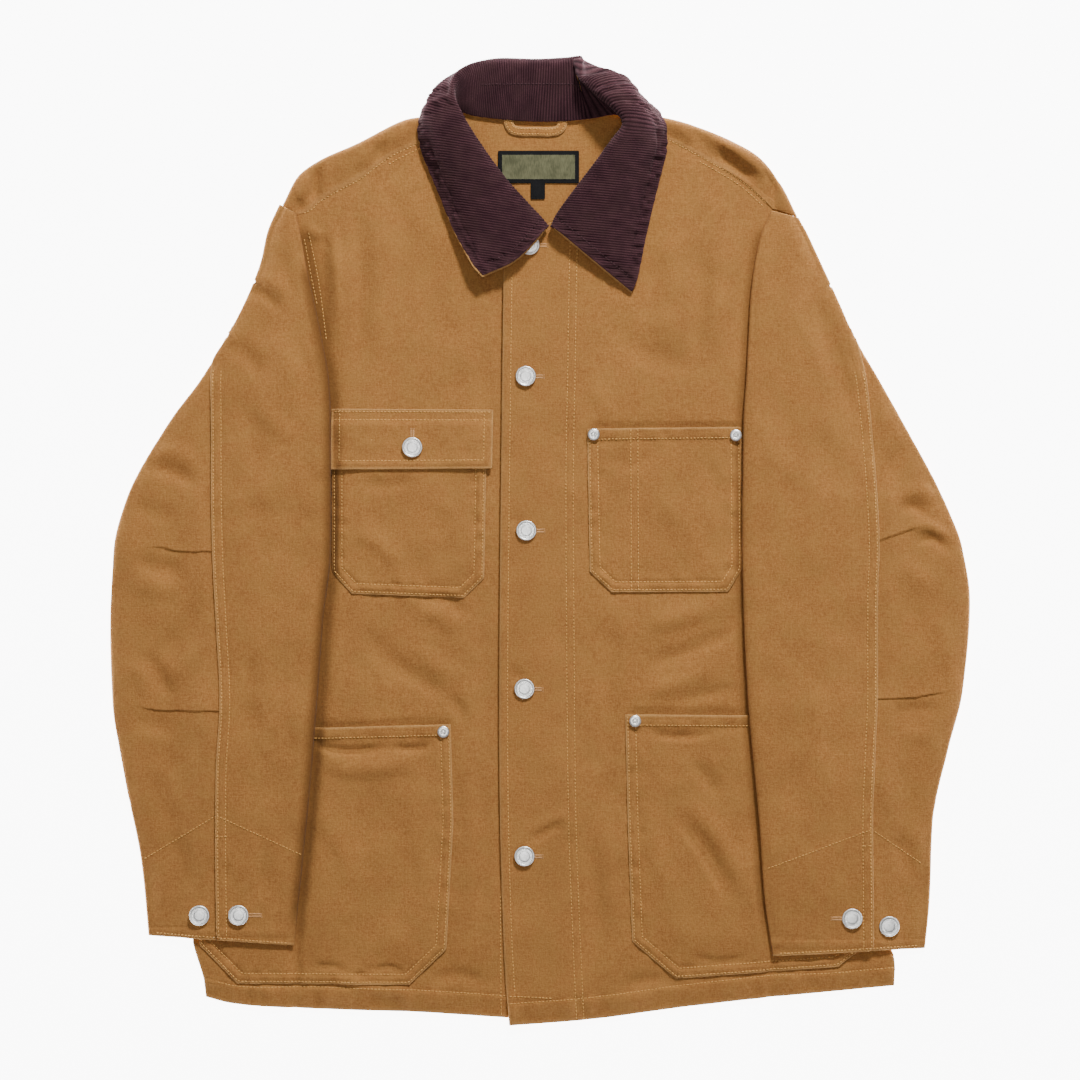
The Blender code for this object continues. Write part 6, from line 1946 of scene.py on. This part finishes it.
def turned_piece(name, profile, sides, where, beads=0):
    """A closed turned solid, its profile running from the top's middle to the foot's."""
    profile = np.array(profile)
    fine = spline(profile, np.linspace(0, len(profile) - 1, (len(profile) - 1) * 2 + 1))
    fine[:, 0] = np.maximum(fine[:, 0], 0.0)
    ring = fine[1:-1]
    angle = np.linspace(0.0, 2.0 * math.pi, sides, endpoint=False)
    points = [(0.0, 0.0, fine[0, 1])]
    for radius, height in ring:
        points += [(radius * math.cos(a), radius * math.sin(a), height) for a in angle]
    points.append((0.0, 0.0, fine[-1, 1]))
    faces = []
    for k in range(sides):
        after = (k + 1) % sides
        faces.append((0, 1 + k, 1 + after))
        for j in range(len(ring) - 1):
            low, high = 1 + j * sides, 1 + (j + 1) * sides
            faces.append((low + k, high + k, high + after, low + after))
        low = 1 + (len(ring) - 1) * sides
        faces.append((low + k, len(points) - 1, low + after))
    for number in range(beads):
        turn = 2.0 * math.pi * number / beads
        base = len(points)
        x, y = BEAD_RING * math.cos(turn), BEAD_RING * math.sin(turn)
        for radius, height in BEAD:
            points += [(x + radius * math.cos(a), y + radius * math.sin(a), height)
                       for a in np.linspace(0.0, 2.0 * math.pi, BEAD_SIDES, endpoint=False)]
        points += [(x, y, BEAD_TOP), (x, y, BEAD_FOOT)]
        rings = [base + j * BEAD_SIDES for j in range(len(BEAD))]
        for k in range(BEAD_SIDES):
            after = (k + 1) % BEAD_SIDES
            for low, high in zip(rings, rings[1:]):
                faces.append((low + k, low + after, high + after, high + k))
            faces.append((rings[-1] + k, rings[-1] + after, len(points) - 2))
            faces.append((base + after, base + k, len(points) - 1))
    thing = new_piece(name, points, faces, [NICKEL])
    thing.location = Vector(where) * MM
    return thing


metal = {}


def button(label, x, y, names):
    metal["button_" + label] = turned_piece("cap_" + label, BUTTON_PROFILE, BUTTON_SIDES,
                                            (x, y, seat(names, x, y)), BEADS)


for number, (x, y) in enumerate(FRONT_BUTTONS, start=1):
    button("front_%d" % number, x, y, ["front_left_panel"])
button("flap", *FLAP_BUTTON, ["chest_flap_panel"])
for label_name, (x, y) in CUFF_BUTTONS.items():
    sleeve = "sleeve_%s_" % label_name.split("_")[0]
    button("cuff_" + label_name, x, y, [sleeve + "inner_panel", sleeve + "outer_panel"])
for label_name, (x, y) in RIVETS.items():
    names = ["chest_pocket_left_panel", "hip_pocket_right_panel", "hip_pocket_left_panel"]
    metal["rivet_" + label_name] = turned_piece("washer_" + label_name, RIVET_PROFILE, RIVET_SIDES,
                                                (x, y, seat(names, x, y) - RIVET_SINK))
print("metal pieces:", len(metal))

# %% [markdown]
# ## Sewing
#
# Every row of topstitching is made of single stitches: a short length of thread that rises
# out of the cloth, lies on it and dives in again. Each stitch is laid on the highest cloth
# beneath it and its place and length vary a little. The rows run along the same lines that
# the grooves were drawn for. A real stitch is 2.9 mm from hole to hole and its thread about
# 0.5 mm thick; the thread is drawn 0.86 mm thick, so that the rows show from far off.

# %% Rows of stitches
PITCH = 2.9
STITCH = 2.15
THREAD_RADIUS = 0.43   # drawn thicker than the real thread, so that it shows
SIDES = 4
STITCH_TOUCH = 0.08    # the share of a stitch at each end where it meets the cloth
STEEPEST_STITCH = 2.2  # a stitch that would climb more than this is left out
# share of the stitch's length, then rise and girth there, in radii of the thread
STATIONS = ((0.0, -0.35, 0.6), (0.25, 0.85, 1.05), (0.75, 0.85, 1.05), (1.0, -0.35, 0.6))
LIE = 0.75             # how far the rise counts, and how flat the thread's section is pressed
PRESSED = 0.8
WANDER = 0.12          # how far a stitch strays along its row, and across it
STRAY = 0.08
Thread = namedtuple("Thread", "points faces")
chance = np.random.default_rng(5)


def one_stitch(thread, start, end, names, radius):
    """A thread from start to end in plan, its ends sunk into the cloth."""
    points, faces = thread
    middle = (start + end) / 2.0
    heights = []
    for x, y in (mix(start, end, STITCH_TOUCH), middle, mix(start, end, 1.0 - STITCH_TOUCH)):
        z = ground(names, x, y)[0]
        if z < 0.0:
            return
        heights.append(z)
    if max(heights) - min(heights) > STEEPEST_STITCH:
        return
    step = end - start
    length = np.hypot(step[0], step[1])
    side = np.array([-step[1], step[0]]) / max(length, 1e-9)
    touches = (STITCH_TOUCH, 0.5, 1.0 - STITCH_TOUCH)
    base = len(points)
    for share, rise, girth in STATIONS:
        plan = mix(start, end, share)
        z = np.interp(share, touches, heights) + rise * radius * LIE
        for k in range(SIDES):
            turn = 2.0 * math.pi * k / SIDES + 0.3
            off = side * radius * girth * math.cos(turn)
            points.append((plan[0] + off[0], plan[1] + off[1],
                           z + radius * girth * PRESSED * math.sin(turn)))
    for j in range(len(STATIONS) - 1):
        for k in range(SIDES):
            after = (k + 1) % SIDES
            a, b = base + j * SIDES, base + (j + 1) * SIDES
            faces.append((a + k, b + k, b + after, a + after))
    faces.append(tuple(base + k for k in range(SIDES)))
    last = base + (len(STATIONS) - 1) * SIDES
    faces.append(tuple(last + k for k in reversed(range(SIDES))))


def sew(thread, line, names, pitch=PITCH, length=STITCH, rounded=True):
    """Stitches along a line in plan."""
    line = np.asarray(line, float)
    if rounded and len(line) > 2:
        line = spline(line, np.linspace(0, len(line) - 1, (len(line) - 1) * 12 + 1))
    total = reach_of(line)[-1]
    count = max(1, int(total / pitch))
    for k in range(count):
        at = (k + 0.5) * total / count + chance.uniform(-WANDER, WANDER)
        half = length * chance.uniform(0.44, 0.54)
        ends = at_lengths(line, np.array([at - half, at + half]))
        ends = ends + chance.uniform(-STRAY, STRAY, (2, 2))
        one_stitch(thread, ends[0], ends[1], names, THREAD_RADIUS * chance.uniform(0.9, 1.1))


def thread_piece(name, thread, material):
    print("%s: %d faces" % (name, len(thread.faces)))
    return new_piece(name, thread.points, thread.faces, [material])


def inset(line, distance):
    """A line moved to its right by a distance, corners kept by mitres."""
    line = np.asarray(line, float)
    step = unit(np.diff(line, axis=0))
    right = np.stack([step[:, 1], -step[:, 0]], axis=1)
    way = np.vstack([right[:1], unit(right[1:] + right[:-1]), right[-1:]])
    turn = np.concatenate([[1.0], np.maximum((way[1:-1] * right[1:]).sum(axis=1), 0.5), [1.0]])
    return line + way * (distance / turn)[:, None]


# %% Stitches of the fronts
FRONTS = ["front_left_panel", "front_right_panel"]
# distance from the seam, then the first and last of twenty steps along it
SHOULDER_ROWS = {RIGHT: ((0.8, 1, 20), (5.2, 12, 20)), LEFT: ((0.8, 1, 20), (4.4, 1, 12))}
ARMHOLE_SEWING = [
    [(-189.6, 252), (-181.6, 213), (-175, 164)], [(-193.2, 247), (-186.8, 213), (-182.6, 193)],
    [(190, 262), (182, 240), (176.4, 214)],
]
sewing = Thread([], [])
sew(sewing, BAND_LINE[::-1], FRONTS[:1])
sew(sewing, [(x + BAND_ROWS, y) for x, y in BAND_LINE[::-1]], FRONTS[:1])
lap_edge = walk(CENTRE_EDGE[LEFT], evenly(24))
sew(sewing, inset(lap_edge, -BAND_EDGE)[1:-1], FRONTS[:1])
sew(sewing, [(FACING_LINE, -291.5), (-32.2, -340.0), (-31.8, -390.0)], FRONTS[1:])
for side in (RIGHT, LEFT):
    hem = walk(HEM[side], evenly(30))
    hem[:, 1] += hem_depth(hem[:, 0])
    sew(sewing, hem[1:] if side == RIGHT else hem, FRONTS)
    for distance, first, last in SHOULDER_ROWS[side]:
        seam = walk(SHOULDER_SEAM[side], evenly(20))
        sew(sewing, inset(seam, -side * distance)[first:last],
            FRONTS[1:] if side == RIGHT else FRONTS[:1])
for row in ARMHOLE_SEWING:
    sew(sewing, row, FRONTS)
front_thread = thread_piece("front_topstitch", sewing, TAN_THREAD)

# %% Stitches of the sleeves
sewing = Thread([], [])


def sleeve_seam_line(side, cut, distance):
    """A row of sewing beside the visible seam, on the inner panel."""
    y = np.linspace(SEAM_TOP_END - 28.0, cut.cuff + 3.0, 60)[:, None]
    seam = seam_distance(side, cut, y)
    points = sleeve_points(side, cut, y, "outer", seam + distance, 0.0)[:, 0]
    return points[:, :2]


FELLED_ROWS = (1.6, 8.0)   # rows of sewing on the visible seam
CUFF_ROW = 1.9             # the row along the cuff, and how far from the folds it ends
CUFF_ROW_END = 6.0
VENT_ROWS = {
    RIGHT: [[(-264.5, -225.1), (-324.3, -261.2)], [(-264.5, -225.1), (-194.8, -257.1)],
            [(-265.3, -242.3), (-255.4, -242.3)]],
    LEFT: [[(271, -236.6), (185.7, -268.5)], [(271, -236.6), (312, -264.5)],
           [(262.8, -250.0), (271.0, -250.0)]],
}
for side, cut, label_name in ((RIGHT, RIGHT_CUT, "right"), (LEFT, LEFT_CUT, "left")):
    inner_name = ["sleeve_%s_inner_panel" % label_name]
    both_names = inner_name + ["sleeve_%s_outer_panel" % label_name]
    for distance in FELLED_ROWS:
        sew(sewing, sleeve_seam_line(side, cut, distance), inner_name)
    for row in VENT_ROWS[side]:
        sew(sewing, row, both_names)
    fold = float(column(cut.table, "fold", cut.cuff)) + CUFF_ROW_END
    outer = float(column(cut.table, "outer", cut.cuff)) - CUFF_ROW_END
    tilt = float(column(cut.table, "tilt", cut.cuff))
    line = [(side * out, cut.cuff + CUFF_ROW + tilt * ((out - fold) / (outer - fold) - 0.5))
            for out in np.linspace(fold, outer, 12)]
    sew(sewing, line, both_names)
sleeve_thread = thread_piece("sleeve_topstitch", sewing, TAN_THREAD)

# %% Stitches of the pockets
sewing = Thread([], [])
ROW_END = 0.012            # share of a side at which its row stops short of the mouth
MOUTH_END = 1.5
PEN_ROWS = (74.2, 80.0)    # two rows that divide off a pen pocket
FLAP_TOP_ROWS = (105.0, 98.4)
for name, lines in POCKETS:
    for distance in POCKET_ROWS:
        line = inset(outline_of(lines), -distance)
        line[0], line[-1] = mix(line[0], line[1], ROW_END), mix(line[-1], line[-2], ROW_END)
        sew(sewing, line, [name], rounded=False)
    mouth = lines[0]
    sew(sewing, [(mouth.x0 + MOUTH_END, mouth.y0 - POCKET_HEM),
                 (mouth.x1 - MOUTH_END, mouth.y1 - POCKET_HEM)], [name])
for x in PEN_ROWS:
    sew(sewing, [(x, 91.0), (x + 0.6, -42.0)], ["chest_pocket_left_panel"])
flap_outline = outline_of([CHEST_FLAP[0], CHEST_FLAP[-1]])
sew(sewing, inset(flap_outline, -FLAP_ROW), ["chest_flap_panel"], rounded=False)
for y in FLAP_TOP_ROWS:
    sew(sewing, [(-169.0, y), (-40.5, y - 0.4)], ["chest_flap_panel"])
pocket_thread = thread_piece("pocket_topstitch", sewing, TAN_THREAD)

# %% Stitches of the collar, loop and labels
sewing = Thread([], [])
CORNER_CLEAR = 7.0         # the long row stops this far from the leaves' corners
edge_line = dense_sheet[::8, -1, :2]
row = inset(edge_line, -LEAF_STITCH)
clear = ((np.linalg.norm(row - edge_line[0], axis=1) > CORNER_CLEAR)
         & (np.linalg.norm(row - edge_line[-1], axis=1) > CORNER_CLEAR))
for shown in (DENSE[::8] < 9.4, DENSE[::8] > 17.6):
    sew(sewing, row[clear & shown], ["collar_corduroy"], rounded=False)
for k, way in ((0, -1.0), (-1, 1.0)):
    front = dense_sheet[k, 16:, :2]
    line = inset(front, -way * LEAF_STITCH)[2:-6]
    sew(sewing, line, ["collar_corduroy"], rounded=False)
sew(sewing, [(-49.0, 372.4), (-4.0, 373.0), (40.0, 372.6)], ["collar_corduroy"])
collar_thread = thread_piece("collar_topstitch", sewing, BROWN_THREAD)

sewing = Thread([], [])
loop_line = walk(LOOP_OUTER, evenly(60))
for distance in (LOOP_ROW, LOOP_WIDTH - LOOP_ROW):
    sew(sewing, inset(loop_line, -distance), ["hanger_loop_strip"], pitch=2.4, length=1.8)
loop_thread = thread_piece("loop_topstitch", sewing, TAN_THREAD)

# %% [markdown]
# ## Buttonholes
#
# A buttonhole is a slit whose lips are closed by tight cross stitches. Most of each one hides
# under its button; the end that shows is a short pale bar of satin stitches.

# %% Buttonholes
HOLE_PITCH = 0.55
HOLE_WIDTH = 3.6
HOLE_YARN = 0.3        # radius of the buttonhole thread
HOLE_FROM, HOLE_TO = 7.0, 14.6   # where a front buttonhole starts and ends beside its button


def satin(thread, start, end, names):
    """Close cross stitches along a short line, with a slit left between the lips."""
    start, end = np.array(start, float), np.array(end, float)
    way = unit(end - start)
    across = np.array([-way[1], way[0]])
    total = np.linalg.norm(end - start)
    for k in range(int(total / HOLE_PITCH)):
        at = start + way * (k + 0.5) * HOLE_PITCH
        for side in (-1.0, 1.0):
            near = at + across * side * 0.15
            far = at + across * side * HOLE_WIDTH / 2.0 * chance.uniform(0.9, 1.08)
            one_stitch(thread, near, far, names, HOLE_YARN)
    for k in range(4):
        off = across * HOLE_WIDTH * 0.5 * (k / 1.5 - 1.0)
        one_stitch(thread, end + off * 0.9 - across * 0.3, end + off * 0.9 + way * 0.9, names, HOLE_YARN)


sewing = Thread([], [])
for x, y in FRONT_BUTTONS:
    satin(sewing, (x + HOLE_FROM, y - 0.3), (x + HOLE_TO, y - 0.3), FRONTS[:1])
satin(sewing, (-104.5, 82.0), (-104.5, 90.6), ["chest_flap_panel"])
satin(sewing, (-239.0, -306.7), (-228.0, -306.7), ["sleeve_right_inner_panel"])
satin(sewing, (248.0, -309.5), (238.4, -309.5), ["sleeve_left_inner_panel"])
hole_thread = thread_piece("buttonhole_stitches", sewing, HOLE_THREAD)

# %% [markdown]
# ## Dressed pieces and their cuts
#
# Each dressed piece rides the jacket and stands in for its imported node, which is hidden.
# The table lists for every cloth piece a slot name, a cut size and the share of that rectangle
# which it fills, and nothing below uses them. The sizes were read off the finished pieces,
# and estimated along the curves of the collar and the loop. The shares were then fitted to the
# cloth in the pieces, so the two areas printed below agree because of that: the line shows how
# well they were fitted, and proves nothing more.

# %% Dressed pieces
# Node: its piece, its slot and its cut. The cut is the width and length in mm, the share of that
# rectangle (fitted to the cloth in the finished piece), and what the piece lies on.
DRESSED = {
    "back_panel": (back, "duck_canvas", 578, 756, 0.868, ["table"]),
    "front_right": (front_right, "duck_canvas", 300, 747, 0.823, ["back_panel"]),
    "front_left": (front_left, "duck_canvas", 326, 748, 0.812, ["back_panel", "front_right"]),
    "sleeve_right_inner": (sleeve_right_inner, "duck_canvas", 206, 612, 0.703, ["front_right"]),
    "sleeve_right_outer": (sleeve_right_outer, "duck_canvas", 187, 548, 0.712,
                           ["table", "sleeve_right_inner"]),
    "sleeve_left_inner": (sleeve_left_inner, "duck_canvas", 224, 616, 0.758, ["front_left"]),
    "sleeve_left_outer": (sleeve_left_outer, "duck_canvas", 187, 556, 0.628,
                          ["table", "sleeve_left_inner"]),
    "collar_upper": (collar_upper, "corduroy", 474, 104, 0.84, ["collar_under"]),
    "collar_under": (collar_under, "duck_canvas", 470, 102, 0.80, ["front_right", "front_left"]),
    "chest_pocket_right": (pocket_chest_right, "duck_canvas", 131, 141, 0.945, ["front_right"]),
    "chest_pocket_left": (pocket_chest_left, "duck_canvas", 131, 139, 0.945, ["front_left"]),
    "hip_pocket_right": (pocket_hip_right, "duck_canvas", 213, 218, 0.94, ["front_right"]),
    "hip_pocket_left": (pocket_hip_left, "duck_canvas", 217, 220, 0.93, ["front_left"]),
    "chest_flap_right": (flap, "duck_canvas", 135, 51, 0.985, ["front_right", "chest_pocket_right"]),
    "hanger_loop": (loop, "duck_canvas", 73, 10, 1, ["back_panel"]),
    "neck_label": (label, "woven_label", 67, 27.5, 1, ["back_panel"]),
    "size_tab": (size_tab, "woven_tab", 12.4, 14.6, 1, ["back_panel"]),
}
dressed = [(row[0], node, row[1]) for node, row in DRESSED.items()]
plated = [(piece, node, "nickel_plate") for node, piece in metal.items()]
for piece, node, slot in dressed + plated:
    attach(piece, "root")
    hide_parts(node)
for piece in (front_thread, sleeve_thread, pocket_thread, collar_thread, loop_thread, hole_thread):
    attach(piece, "root")
